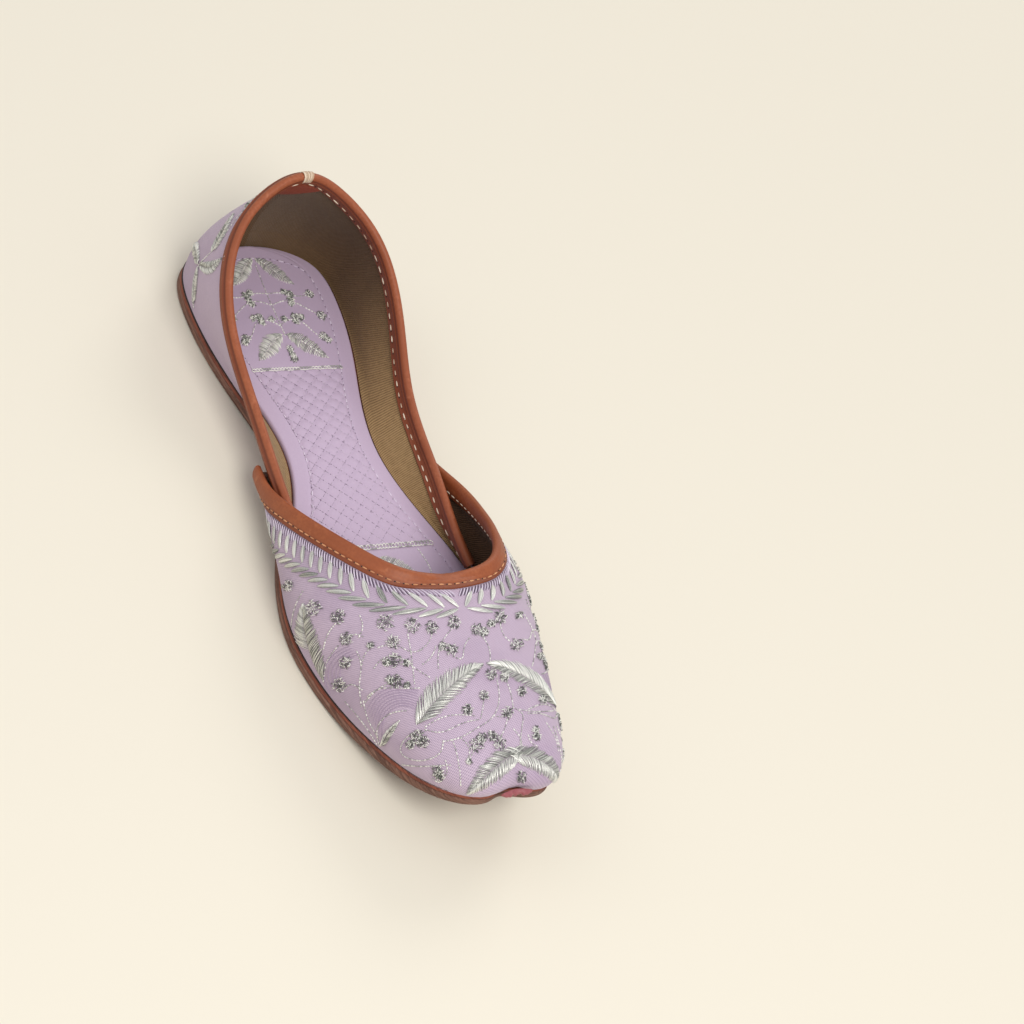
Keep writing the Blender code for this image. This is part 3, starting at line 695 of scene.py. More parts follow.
thick = last["outsoleThick"]
low = thick + sole["gap"]
high = low + last["midsoleThick"] + sole["overlap"]
outsole = layeredSlab("outsole_leather", ((0.0014, 0.0), (0.0005, 0.0002), (0.0001, 0.0008),
                                          (0.0, thick * 0.5), (0.0001, thick - 0.0006), (0.0006, thick)))
midsole = layeredSlab("midsole_leather", ((0.0008, low), (0.0003, low + 0.0002), (0.0002, (low + high) / 2),
                                          (0.0005, high - 0.0003), (0.0012, high)))
finishPiece(outsole, soleEdge, "sole_leather", "outsole")
finishPiece(midsole, soleTopEdge, "midsole_leather", "midsole")
print("sole built")


# Insole: soft top laid as rows across the shoe, crowned
insole = {"rows": 400, "across": 104, "rowEase": 0.3, "sideEase": 0.35, "round": 0.0011, "roundShare": 0.8,
          "crownRun": 0.009}
quilt = {"cell": 0.0042, "from": -0.0645, "to": 0.0136, "margin": 0.0064, "phases": (-0.0669, -0.0244),
         "puff": 0.00028, "groove": 0.00018, "grooveHalf": 0.0005, "fade": 0.0008, "aroundTo": 0.062}


def insoleHalfWidth(x):
    points, _ = outlineCurve(last["insoleInset"])
    return np.interp(x, points[:, 0], points[:, 1])


def insoleTop(x, y):
    edge = np.maximum(insoleHalfWidth(x) - np.abs(y), 0.0)
    fall = 1.0 - np.clip(edge / insole["round"], 0, 1)
    crown = last["insoleCrown"] * smoothStep(edge / insole["crownRun"])
    drop = insole["round"] * (1 - np.sqrt(1 - fall ** 2)) * insole["roundShare"]
    return soleRise(x) + stack + last["insoleThick"] + crown - drop


def press(distance):
    return np.exp(-((distance / quilt["grooveHalf"]) ** 2))


def insoleRelief(x, y):  # the soft top puffs between the quilting lines and is pressed in along every seam
    spare = insoleHalfWidth(x) - quilt["margin"] - np.abs(y)
    inside = smoothStep(spare / quilt["fade"]) * smoothStep((x - quilt["from"]) / quilt["fade"])
    inside = inside * smoothStep((quilt["to"] - x) / quilt["fade"])
    puff, groove = np.ones_like(x), np.zeros_like(x)
    for sign, phase in zip((1, -1), quilt["phases"]):
        line = (x + sign * y - phase) / math.sqrt(2)
        cell = line / quilt["cell"]
        puff = puff * np.abs(np.sin(math.pi * cell))
        groove = np.maximum(groove, press((cell - np.round(cell)) * quilt["cell"]))
    relief = inside * (quilt["puff"] * np.sqrt(puff) - quilt["groove"] * groove)
    around = press(spare) * smoothStep((quilt["aroundTo"] - x) / 0.01)
    across = np.maximum(press(x - quilt["from"]), press(x - quilt["to"])) * smoothStep(spare / 0.001)
    return relief - quilt["groove"] * np.maximum(around, across)


def insoleBody():
    points, _ = outlineCurve(last["insoleInset"])
    share = np.linspace(0, 1, insole["rows"] + 1)
    share = insole["rowEase"] * (1 - np.cos(math.pi * share)) / 2 + (1 - insole["rowEase"]) * share
    xs = points[0, 0] + (points[-1, 0] - points[0, 0]) * share[1:-1]
    even = np.linspace(-1, 1, insole["across"] + 1)
    side = insole["sideEase"] * np.sin(even * math.pi / 2) + (1 - insole["sideEase"]) * even
    x, y = xs[:, None] + 0 * side, insoleHalfWidth(xs)[:, None] * side
    grid = np.stack([x, y, insoleTop(x, y) + insoleRelief(x, y)], axis=-1)
    rows, columns = x.shape
    rim = rimOf(rows, columns)
    low = grid.reshape(-1, 3)[rim]
    low[:, 2] = soleRise(low[:, 0]) + stack
    under = {corner: rows * columns + k for k, corner in enumerate(rim)}
    faces = gridFaces(rows, columns)
    for i in range(rows - 1):
        start, end = i * columns, (i + 1) * columns
        face = [start, end, end + columns - 1, start + columns - 1]
        if i == 0:
            face = [end, end + columns - 1] + list(range(start + columns - 1, start - 1, -1))
        if i == rows - 2:
            face = [start] + list(range(end, end + columns)) + [start + columns - 1]
        faces.append(tuple(under[corner] for corner in face))
    faces += [(a, b, under[b], under[a]) for a, b in zip(rim, rim[1:] + rim[:1])]
    return closedBody("insole_soft", np.vstack([grid.reshape(-1, 3), low]), faces, 60)


finishPiece(insoleBody(), lavenderSkin, "insole_fabric", "insole")
print("insole built")


# Lining's turn-in: it curves from the wall to the edge of the insole
turnIn = {"stations": 160, "step": 0.13, "under": 0.0011, "inset": 0.0031, "corner": 0.0010, "thick": 0.0003}


def liningTurn():
    stations = np.linspace(0, 1, turnIn["stations"])
    wall = quarterWall(stations, np.array([0.0, turnIn["step"]]))
    edge, outward = outlineAt(turnIn["inset"], stations * outlineShare(tailTo))
    edge[:, 2] = insoleTop(edge[:, 0], 0 * edge[:, 1]) - turnIn["under"] - last["insoleCrown"]
    high = wall[:, 1] - outward * (cloth["lining"] + 0.0001)
    corner = wall[:, 0] - outward * turnIn["corner"]
    corner[:, 2] = edge[:, 2]
    share = np.linspace(0, 1, 9)[None, :, None]
    high, corner, edge = (part[:, None, :] for part in (high, corner, edge))
    whole = bothSides(high * (1 - share) ** 2 + corner * 2 * share * (1 - share) + edge * share ** 2)
    sheet = newObject("lining_turn", whole.reshape(-1, 3), gridFaces(*whole.shape[:2]))
    weldAndFaceOut(sheet)
    faceToward(sheet, lambda place: Vector(upward))
    unwrapInMillimetres(sheet)
    shell = shellOf("lining_turn_in", sheet, turnIn["thick"], -1.0)
    bpy.data.objects.remove(sheet)
    return shell


finishPiece(liningTurn(), goldenLining, "upper_fabric")


# Edge bindings: strips of leather laid over the edges, walking down the wall on both sides
strip = {"steps": 150, "leather": 0.0006, "pace": 0.0008, "gap": 0.0002, "roundEnd": 0.0016, "endFlat": 0.8,
         "heelNarrow": 0.32, "heelRun": 0.016, "tail": 0.93}
strip["slot"] = last["wall"] / 2 + strip["gap"]


def wallTree(wall, stations, steps):
    grid = wall(stations, steps)
    half = grid.reshape(-1, 3)
    faces = gridFaces(*grid.shape[:2])
    other = [tuple(corner + len(half) for corner in face) for face in faces]
    points = np.vstack([half, half * mirrorY])
    outward = [tuple(reversed(face)) for face in faces]
    return BVHTree.FromPolygons([Vector(point) for point in points], outward + other)


def walkDown(tree, start, along, toward, depths):
    along, toward = Vector(along), Vector(toward)
    place, normal, _, _ = tree.find_nearest(Vector(start))
    walked, places, normals = 0.0, [], []
    for depth in depths:
        while walked < depth - 1e-9:
            pace = min(strip["pace"], depth - walked)
            heading = normal.cross(along).normalized()
            heading = heading if heading.dot(toward) > 0 else -heading
            place, normal, _, _ = tree.find_nearest(place + heading * pace)
            toward = heading
            walked += pace
        places.append(np.array(place))
        normals.append(np.array(normal))
    return np.array(places), np.array(normals)


def edgeRun(edge):
    along = np.gradient(edge, axis=0)
    along[0, [0, 2]] = 0.0
    return unitRows(along)


class EdgeChart:  # places by distance round an edge, depth below it and lift out of the wall
    def __init__(self, edge, tree, toward, deepest):
        self.along = lengthAlong(edge)
        self.depths = np.arange(0.0, deepest + strip["pace"], strip["pace"])
        walks = [walkDown(tree, start, run, toward, self.depths) for start, run in zip(edge, edgeRun(edge))]
        self.places, self.normals = (np.array(part) for part in zip(*walks))
        self.normals[1:-1] = (self.normals[:-2] + self.normals[1:-1] + self.normals[2:]) / 3
        self.normals = unitRows(self.normals)

    def at(self, along, depth, lift):
        along, depth, lift = np.broadcast_arrays(*(np.asarray(part, float) for part in (along, depth, lift)))
        row = np.interp(np.abs(along), self.along, np.arange(len(self.along)))
        column = np.clip(depth, 0, self.depths[-1]) / strip["pace"]
        i = np.clip(row.astype(int), 0, len(self.along) - 2)
        j = np.clip(column.astype(int), 0, len(self.depths) - 2)
        a, b = (row - i)[..., None], (column - j)[..., None]

        def read(table):
            return (table[i, j] * (1 - a) * (1 - b) + table[i + 1, j] * a * (1 - b)
                    + table[i, j + 1] * (1 - a) * b + table[i + 1, j + 1] * a * b)

        step = self.places[:, 0] - self.places[:, 1]
        rise = unitRows(step[i] * (1 - a) + step[i + 1] * a)
        over = np.maximum(-depth, 0.0)[..., None]
        place = read(self.places) + rise * over + unitRows(read(self.normals)) * lift[..., None]
        place[..., 1] *= np.where(along < 0, -1.0, 1.0)
        return place

    @property
    def length(self):
        return self.along[-1]


def roundedSection(outside, inside, bead, beadFull, neck):
    slot = strip["slot"]
    face = slot + strip["leather"]
    top = last["clearance"] + bead
    soft = 0.0003
    points = [(face - soft, outside), (face, outside - soft)]
    points += [(face, depth) for depth in np.linspace(outside - soft, neck, 5)[1:]]
    points += [(face + beadFull * math.sin(math.pi * share) ** 2, neck - (neck - 0.2 * bead) * share)
               for share in np.linspace(0, 1, 9)[1:]]
    points += [(face * math.cos(angle), 0.2 * bead - top * 1.1 * math.sin(angle))
               for angle in np.linspace(0, math.pi, 13)[1:]]
    points += [(-face - beadFull * 0.6 * math.sin(math.pi * share) ** 2,
                0.2 * bead + (neck - 0.2 * bead) * share) for share in np.linspace(0, 1, 7)[1:]]
    points += [(-face, depth) for depth in np.linspace(neck, inside - soft, 5)[1:]]
    points += [(-face + soft, inside), (-slot, inside)]
    points += [(-slot, depth) for depth in np.linspace(inside, 0.0, 5)[1:]]
    points += [(-slot * 0.9, -last["clearance"]), (slot * 0.9, -last["clearance"]), (slot, 0.0)]
    points += [(slot, depth) for depth in np.linspace(0.0, outside, 5)[1:]]
    return points


def heelShare(along):  # inner band of the collar is narrower at the heel
    return 1.0 - strip["heelNarrow"] * np.exp(-((np.asarray(along) / strip["heelRun"]) ** 2))


def layStrip(name, chart, section, steps, inside=lambda along: 1.0):
    along = np.linspace(0, chart.length, steps + 1)[:, None]
    lift, depth = (np.array(column) for column in zip(*section))
    bare = np.clip(lift, -strip["slot"], strip["slot"])
    past = np.clip((along - chart.length) / strip["roundEnd"] + 1, 0, 1)
    full = np.sqrt(1 - strip["endFlat"] * past ** 2)
    narrow = np.where((lift < 0) & (depth > 0), inside(along) + 0 * along, 1.0)
    whole = bothSides(chart.at(along, depth * narrow, bare + (lift - bare) * full))
    rows, columns = whole.shape[:2]
    faces = [(i * columns + j, (i + 1) * columns + j, (i + 1) * columns + (j + 1) % columns,
              i * columns + (j + 1) % columns) for i in range(rows - 1) for j in range(columns)]
    faces += [tuple(range(columns)), tuple((rows - 1) * columns + j for j in range(columns))]
    obj = newObject(name, whole.reshape(-1, 3), faces)
    # Depth below the edge for each point, which the leather's painted shade reads.
    layer = obj.data.attributes.new("depth", "FLOAT", "POINT")
    layer.data.foreach_set("value", np.tile(depth, rows).astype(np.float32))
    weldAndFaceOut(obj)
    shadeSmooth(obj, 40)
    return obj


collarSteps = np.linspace(0, strip["tail"], strip["steps"])
throatSteps = np.linspace(1, 0, strip["steps"])
quarterTree = wallTree(quarterWall, quarterS, quarterT)
vampTree = wallTree(vampWall, vampS, vampT)
collarChart = EdgeChart(quarterWall(collarSteps, quarterT)[:, -1], quarterTree, -upward, 0.016)
throatChart = EdgeChart(vampWall(throatSteps, vampT)[:, -1], vampTree, forward - upward, 0.020)
collarSection = roundedSection(0.0038, 0.0060, 0.0016, 0.00060, 0.0021)
throatSection = roundedSection(0.0050, 0.0050, 0.0018, 0.0002, 0.0034)
collarBinding = layStrip("collar_leather_strip", collarChart, collarSection, 220, heelShare)
vampBinding = layStrip("vamp_leather_strip", throatChart, throatSection, 180)
finishPiece(collarBinding, rustLeather, "collar_leather", "collar_binding")
finishPiece(vampBinding, tanLeather, "vamp_edge_leather", "vamp_binding")
print("bindings built, mm along the collar and the throat:",
      round(2000 * collarChart.length), round(2000 * throatChart.length))


# Small leathers: half-round patch at the heel and the folded piece in the toe's notch
patch = {"half": 0.0100, "top": 0.0044, "drop": 0.0143, "leather": 0.0008, "skive": 0.0015, "rim": 0.35}
fold = {"from": 1.945, "low": 0.100, "high": 0.185, "leather": 0.0004, "bulge": 0.0013, "stand": 0.0011,
        "reach": 0.30, "stations": 21, "steps": 30, "up": 13, "narrow": 0.45, "climb": 0.012}


def closedPatch(name, inner, outer):
    rows, columns = inner.shape[:2]
    count = rows * columns
    faces = gridFaces(rows, columns)
    faces += [tuple(corner + count for corner in reversed(face)) for face in faces]
    rim = rimOf(rows, columns)
    faces += [(a, b, b + count, a + count) for a, b in zip(rim, rim[1:] + rim[:1])]
    return closedBody(name, np.vstack([inner.reshape(-1, 3), outer.reshape(-1, 3)]), faces, 60)


def heelPatch():
    across = np.sin(np.linspace(-1, 1, 31) * math.pi / 2)[:, None] * 0.995
    down = np.linspace(0, 1, 13)[None, :]
    drop = patch["drop"] * np.sqrt(1 - across ** 2)
    depth = patch["top"] + drop * down
    along = across * patch["half"]
    edge = np.minimum(1 - down ** 6, 1.0) * np.minimum(drop / patch["skive"], 1.0)
    inner = -(last["wall"] / 2 + 0.00002)
    full = patch["rim"] + (1 - patch["rim"]) * np.sqrt(np.clip(edge, 0, 1))
    return closedPatch("patch_leather_piece", collarChart.at(along, depth, inner),
                       collarChart.at(along, depth, inner - patch["leather"] * full))


def wallNormals(grid):
    normal = unitRows(np.cross(np.gradient(grid, axis=0), np.gradient(grid, axis=1)))
    return normal * np.where((normal[..., 0] < 0)[..., None], -1.0, 1.0)


def toeFold():
    stations = np.linspace(fold["from"], 2, fold["stations"])
    steps = np.linspace(0.0, fold["reach"], fold["steps"] + 1)
    grid = vampWall(stations, np.concatenate([steps, [1.0]]))
    out = wallNormals(grid)
    out[-1, :, 1] = 0.0
    across = np.linspace(1, 0, fold["stations"])[:, None]
    up = np.linspace(-1, 1, fold["up"])[None, :]
    half = (fold["high"] - fold["low"]) / 2
    half = half * (fold["narrow"] + (1 - fold["narrow"]) * np.sqrt(1 - across ** 2))
    level = (fold["low"] + half + up * half + fold["climb"] * across ** 2) / fold["reach"] * fold["steps"]
    rows = np.arange(fold["stations"])[:, None] + 0 * up.astype(int)
    low = np.clip(level.astype(int), 0, fold["steps"] - 1)
    rest = (level - low)[..., None]
    place = grid[rows, low] * (1 - rest) + grid[rows, low + 1] * rest
    normal = out[rows, low]
    ruffle = 0.22 * np.cos(across * 10.0 + up * 1.3) + 0.12 * np.cos(across * 23.0)
    puffed = np.sqrt(np.clip((1 - across ** 4) * (1 - up ** 2), 0, 1)) * (1 + ruffle)
    near = place + normal * (last["wall"] / 2 + fold["stand"])
    far = near + normal * (fold["leather"] + fold["bulge"] * puffed)[..., None]
    near[-1, :, 1] = far[-1, :, 1] = 0.0
    near, far = (np.concatenate([part, (part[:-1] * mirrorY)[::-1]]) for part in (near, far))
    return closedPatch("fold_leather_piece", near, far)


finishPiece(heelPatch(), patchLeather, "patch_leather", "heel_patch")
finishPiece(toeFold(), foldLeather, "fold_leather", "toe_fold")
print("small leathers built")


# Photo's viewpoint: a stitch may be aimed at a pixel and lands on the cloth behind it
focal, middle = 2800.0, 512.0
right, down, toward = (Vector(row) for row in ((0.3581, 0.8388, 0.4101), (0.8123, -0.0634, -0.5798),
                                               (-0.4603, 0.5407, -0.7041)))
shift = Vector((-0.056573, 0.005861, 0.976342))
eye = -(right * shift.x + down * shift.y + toward * shift.z)


# Thread work: stitches gathered as lines, then swept or strung with small parts by node trees
class Threads:
    def __init__(self):
        self.points, self.links, self.radii, self.tones = [], [], [], []

    def add(self, points, radius, tone, taper=0.5):
        start, count = len(self.points), len(points)
        share = np.linspace(-1, 1, count)
        self.points.extend(tuple(map(float, point)) for point in points)
        self.radii.extend((radius * (1 - (1 - taper) * share ** 4)).tolist())
        self.tones.extend([tone] * count)
        self.links.extend((start + i, start + i + 1) for i in range(count - 1))

    def guide(self, points):  # a line that only carries stitches, so its radius and tone don't show
        self.add(points, 0.0002, 0.7)

    def mirrored(self, points, radius, tone, taper=0.5):
        self.add(points, radius, tone, taper)
        self.add(np.asarray(points) * mirrorY, radius, tone, taper)

    def lines(self, name):
        mesh = bpy.data.meshes.new(name)
        mesh.from_pydata(self.points, self.links, [])
        for key, values in (("radius", self.radii), ("tone", self.tones)):
            layer = mesh.attributes.new(key, "FLOAT", "POINT")
            layer.data.foreach_set("value", values)
        return linked(name, mesh)


class Tree:
    def __init__(self, name, **inputs):
        self.group = bpy.data.node_groups.new(name, "GeometryNodeTree")
        self.sockets = {}
        self.group.interface.new_socket("Geometry", in_out="INPUT", socket_type="NodeSocketGeometry")
        for key, kind in inputs.items():
            item = self.group.interface.new_socket(key, in_out="INPUT", socket_type="NodeSocket" + kind)
            self.sockets[key] = item.identifier
        self.group.interface.new_socket("Geometry", in_out="OUTPUT", socket_type="NodeSocketGeometry")
        self.entry = self.group.nodes.new("NodeGroupInput")
        self.exit = self.group.nodes.new("NodeGroupOutput")

    def input(self, key="Geometry"):
        return self.entry.outputs[key]

    def node(self, kind, settings, sockets, output=0):
        outputs = addNode(self.group, kind, settings, sockets).outputs
        return outputs[output] if isinstance(output, int) else [outputs[i] for i in output]

    def close(self, geometry):
        whole = self.node("GeometryNodeRealizeInstances", {}, {"Geometry": geometry})
        smooth = self.node("GeometryNodeSetShadeSmooth", {}, {"Geometry": whole})
        sockets = {"Geometry": smooth, "Material": self.input("Material")}
        coloured = self.node("GeometryNodeSetMaterial", {}, sockets)
        self.group.links.new(coloured, self.exit.inputs[0])
        return self

    def apply(self, obj, **values):
        modifier = obj.modifiers.new("thread work", "NODES")
        modifier.node_group = self.group
        for key, value in values.items():
            modifier[self.sockets[key]] = value
        return bakeModifiers(obj)


def sweepTree():
    t = Tree("swept_thread", Sides="Int", Material="Material")
    curve = t.node("GeometryNodeMeshToCurve", {}, {"Mesh": t.input()})
    ring = t.node("GeometryNodeCurvePrimitiveCircle", {}, {"Resolution": t.input("Sides"), "Radius": 1.0})
    radius = t.node("GeometryNodeInputNamedAttribute", {"data_type": "FLOAT"}, {"Name": "radius"})
    tube = t.node("GeometryNodeCurveToMesh", {}, {"Curve": curve, "Profile Curve": ring, "Scale": radius,
                                                  "Fill Caps": True})
    return t.close(tube)


def stitchTree():
    t = Tree("running_stitch", Pitch="Float", Length="Float", Width="Float", Offset="Float", Seed="Int",
             Material="Material")
    curve = t.node("GeometryNodeMeshToCurve", {}, {"Mesh": t.input()})
    rest = t.node("GeometryNodeTrimCurve", {"mode": "LENGTH"},
                  {"Curve": curve, 4: t.input("Offset"), 5: 10.0})
    points, along = t.node("GeometryNodeCurveToPoints", {"mode": "LENGTH"},
                           {"Curve": rest, "Length": t.input("Pitch")}, (0, 1))
    turn = t.node("FunctionNodeAlignRotationToVector", {"axis": "Z"}, {"Vector": along})
    bead = t.node("GeometryNodeMeshUVSphere", {}, {"Segments": 6, "Rings": 4, "Radius": 1.0})
    size = t.node("ShaderNodeCombineXYZ", {},
                  {0: t.input("Width"), 1: t.input("Width"), 2: t.input("Length")})
    spread, tone = (t.node("FunctionNodeRandomValue", {"data_type": "FLOAT"},
                           {2: least, 3: most, 8: t.input("Seed")}, 1)
                    for least, most in ((0.82, 1.12), (0.25, 1.0)))
    size = t.node("ShaderNodeVectorMath", {"operation": "SCALE"}, {0: size, 3: spread})
    placed = t.node("GeometryNodeInstanceOnPoints", {},
                    {"Points": points, "Instance": bead, "Rotation": turn, "Scale": size})
    toned = t.node("GeometryNodeStoreNamedAttribute", {"data_type": "FLOAT", "domain": "INSTANCE"},
                   {"Geometry": placed, "Name": "tone", "Value": tone})
    return t.close(toned)


sweptThread, runningStitch = sweepTree(), stitchTree()


def sweep(name, threads, material, sides=5):
    finishPiece(sweptThread.apply(threads.lines(name), Sides=sides, Material=material), material)


def stitchAlong(name, threads, material, seed, pitch, length, width, offset=0.0):
    obj = runningStitch.apply(threads.lines(name), Pitch=pitch, Length=length / 2, Width=width / 2,
                              Offset=offset, Seed=seed, Material=material)
    finishPiece(obj, material)


def smoothLine(points, count):
    points = np.asarray(points, float)
    along = lengthAlong(points)
    return cubic(along, points, np.linspace(0, along[-1], count))


def landed(tree, pixels, lifts):  # places of the pixels on the cloth, or nothing when one misses it
    places = []
    for (across, below), lift in zip(pixels, np.broadcast_to(lifts, len(pixels))):
        aim = right * ((across - middle) / focal) + down * ((below - middle) / focal) + toward
        place, normal, _, _ = tree.ray_cast(eye, aim.normalized())
        if place is None:
            return None
        normal = normal if normal.dot(eye - place) > 0 else -normal
        places.append(np.array(place + normal * float(lift)))
    return np.array(places)


def seenFromPhoto(tree, points):  # how squarely the mirrored places would face the photo's viewpoint
    worst = 1.0
    for point in points:
        place = Vector(point * mirrorY)
        near, normal, _, _ = tree.find_nearest(place)
        view = (eye - near).normalized()
        normal = normal if normal.dot(near - Vector((near.x, 0, 0))) > 0 else -normal
        worst = min(worst, normal.dot(view))
    return worst


chance = random.Random(7)
coil = {"least": 10, "fill": 12500, "turn": 2.39996, "half": (0.00040, 0.00070), "rise": (0.0003, 0.0006)}
leaf = {"steps": 60, "reach": 0.995, "tip": 0.97, "taper": 0.55}


# Embroidery on the vamp: drawn in the photo's pixels, with the sizes of thread in metres
vampWork = {"base": 0.00098, "thread": 0.00016, "rise": 0.00046, "pitch": 0.00039, "loop": 0.00015,
            "hidden": 0.28, "fanDrop": 0.0001}
pixel = 0.00035  # metres on the shoe for a photo pixel
featherLeaves = (
    (((325.9, 680.5), (318.7, 668.5), (311.2, 648.4), (306.6, 626.3), (305.8, 603.2)), 12.0, 12.0),
    (((417.7, 725.7), (430.8, 707.6), (448.8, 688.6), (464.9, 675.5), (482.6, 665.3)), 16.0, 12.5),
    (((384.0, 745.5), (389.5, 735.0), (400.5, 721.5)), 3.4, 3.6),
    (((522.2, 753.3), (506.1, 758.9), (489.0, 772.9), (467.9, 791.4)), 11.5, 12.0),
)
beadClusters = (
    (291, 586, 5.2), (316, 608, 7.6), (340, 617, 7.2), (386, 624, 8.4), (412, 627, 7.6), (431, 629, 6.4),
    (453, 624, 6.4), (348, 639, 6.4), (372, 646, 3.2), (394, 643, 6.8), (348, 662, 6.0), (395, 661, 7.2),
    (342, 684, 6.8), (397, 682, 6.8), (451, 651, 6.0), (442, 648, 4.4), (407, 664, 3.6), (408, 686, 3.2),
    (391, 680, 4.0), (388, 663, 4.0), (467, 711, 5.2), (419, 737, 6.8), (425, 742, 6.0), (476, 746, 7.2),
    (481, 739, 5.2), (469, 762, 2.8), (440, 770, 5.6), (442, 774, 4.4), (413, 744, 4.4),
    (476, 631, 6.0), (483, 634, 4.4), (499, 619, 6.4), (490, 625, 4.0), (515, 646, 6.0), (538, 657, 3.2),
    (517, 617, 3.2), (490, 676, 5.6), (503, 679, 4.4), (483, 697, 4.8), (506, 714, 6.0), (520, 693, 4.8),
    (541, 701, 4.0), (491, 737, 4.8), (498, 744, 6.8), (534, 731, 3.2), (535, 738, 4.0), (520, 776, 5.2),
)
dottedStems = (
    ((337, 624), (330, 634), (326, 648)), ((361, 617), (364, 628), (361, 637)),
    ((348, 639), (356, 635), (364, 637)), ((340, 646), (330, 660), (326, 680)),
    ((359, 652), (363, 664), (362, 680), (364, 705)), ((372, 648), (366, 656), (364, 664)),
    ((380, 648), (387, 646), (401, 648), (413, 653), (421, 651)),
    ((376, 668), (384, 659), (399, 658), (411, 666), (429, 678)),
    ((370, 696), (378, 690), (391, 688), (409, 689), (419, 689)), ((368, 701), (380, 689), (401, 680)),
    ((408, 636), (411, 654), (415, 684)), ((431, 636), (428, 644), (420, 651)),
    ((451, 630), (442, 642), (438, 654), (438, 669)), ((435, 648), (431, 658), (423, 665)),
    ((468, 640), (463, 650), (461, 660), (453, 658)), ((346, 689), (352, 684), (364, 689)),
    ((348, 701), (360, 715), (372, 731), (379, 742)), ((366, 701), (370, 717), (380, 735)),
    ((382, 744), (380, 727), (391, 714), (407, 711)), ((382, 744), (393, 735), (401, 721)),
    ((427, 727), (441, 719), (459, 716), (473, 717)), ((427, 730), (441, 733), (461, 725), (477, 721)),
    ((419, 731), (407, 739), (403, 750), (413, 758), (429, 759), (442, 752), (444, 742)),
    ((427, 731), (421, 735), (409, 742)),
    ((445, 742), (459, 739), (477, 729), (491, 719), (498, 701), (496, 682)),
    ((453, 741), (458, 757), (462, 783)), ((405, 763), (421, 765), (437, 765), (451, 765)),
    ((469, 762), (473, 753), (477, 747)), ((447, 761), (448, 773), (441, 780), (435, 777)),
    ((284, 580), (284, 594), (287, 613)), ((292, 590), (286, 600)), ((305, 592), (298, 606), (294, 626)),
    ((461, 739), (469, 749), (467, 763)), ((483, 640), (488, 650), (489, 663)),
    ((499, 626), (502, 636), (510, 644)), ((504, 680), (509, 693), (512, 709)),
    ((483, 701), (482, 709), (480, 719)), ((493, 717), (501, 718), (507, 716)),
    ((512, 709), (521, 715), (521, 727), (519, 747)), ((506, 721), (503, 731), (499, 739)),
    ((513, 731), (519, 739), (521, 749)), ((519, 711), (535, 713), (551, 712)),
    ((523, 622), (531, 640), (538, 654), (547, 674)), ((521, 614), (529, 628), (535, 646)),
    ((545, 725), (553, 739), (556, 751)), ((539, 705), (547, 709), (555, 707)),
    ((527, 737), (531, 745), (535, 747)),
)
fanArcs = (
    (8, ((369.5, 708.6), (380.5, 693.6), (400.6, 688.0), (419.0, 692.0)),
     ((384.0, 736.0), (389.0, 714.0), (403.0, 706.0), (417.0, 710.0))),
    (5, ((333.0, 693.0), (326.5, 672.5), (336.0, 654.4), (352.0, 646.0)),
     ((344.0, 683.0), (342.0, 671.0), (349.0, 660.0), (359.0, 655.0))),
)


def featherLeaf(lay, land, axis, leftWidth, rightWidth, unit, work=vampWork, slant=0.16):
    line = smoothLine(axis, leaf["steps"] + 1)
    run = unitRows(np.gradient(line, axis=0))
    side = np.column_stack([-run[:, 1], run[:, 0]])
    count = int(lengthAlong(line)[-1] * unit / work["pitch"])
    for sign, width, bright in ((-1, leftWidth, 0.95), (1, rightWidth, 0.6)):
        for i in range(count):
            share = (i + chance.uniform(-0.2, 0.2)) / count
            reach = min(share + slant * (1 - share * 0.6), 1.0)
            wide = width * math.sin(math.pi * min(reach, leaf["reach"]) ** 0.85) ** 0.7
            edge = line + side * sign * wide * chance.uniform(0.82, 1.10)
            spot, rim = ([np.interp(at * leaf["steps"], range(len(line)), column) for column in curve.T]
                         for at, curve in ((max(share, 0), line), (reach, edge)))
            steps = np.linspace(0, 1, 5)
            lifts = work["base"] + work["rise"] * np.sin(math.pi * steps) ** 0.7
            places = land(np.array(spot) + np.subtract(rim, spot) * steps[:, None], lifts)
            tone = bright * chance.choice((0.45, 0.7, 0.9, 1.05, 1.15))
            if places is not None and 0 <= share <= leaf["tip"]:
                lay(places, work["thread"], tone, leaf["taper"])


def coilCluster(threads, land, across, below, radius, unit, work=vampWork, mirrorIf=lambda places: False):
    centrePlace = land(np.array([(across, below)]), [0.0])
    if centrePlace is None:
        return
    lay = threads.mirrored if mirrorIf(centrePlace) else threads.add
    count = int(coil["least"] + radius * unit * coil["fill"])
    for i in range(count):
        angle = i * coil["turn"] + chance.uniform(-0.3, 0.3)
        far = radius * math.sqrt((i + 0.5) / count)
        centre = np.array([across + far * math.cos(angle), below + far * math.sin(angle)])
        lean = angle + chance.uniform(-1.4, 1.4)
        half = chance.uniform(*coil["half"]) / unit * np.array([math.cos(lean), math.sin(lean)])
        lifts = work["base"] + np.array([0.0, 0.8, 1.0, 0.8, 0.0]) * chance.uniform(*coil["rise"])
        places = land(centre + half * np.linspace(-1, 1, 5)[:, None], lifts)
        tone = chance.choice((0.0, 0.1, 0.35, 0.85, 1.1, 1.2))
        if places is not None:
            lay(places, work["loop"], tone, 0.5)


def stemLine(threads, land, points, lift, unit, mirrorIf=lambda places: False):
    count = max(4, int(lengthAlong(np.array(points, float))[-1] * unit / 0.001))
    places = land(smoothLine(points, count), np.full(count, lift))
    if places is not None:
        (threads.mirrored if mirrorIf(places) else threads.add)(places, 0.0002, 0.7)


def onVamp(points, lifts):
    return landed(vampTree, points, lifts)


def hiddenOnVamp(places):
    return places[:, 1].max() < 0 and seenFromPhoto(vampTree, places[::3]) < vampWork["hidden"]


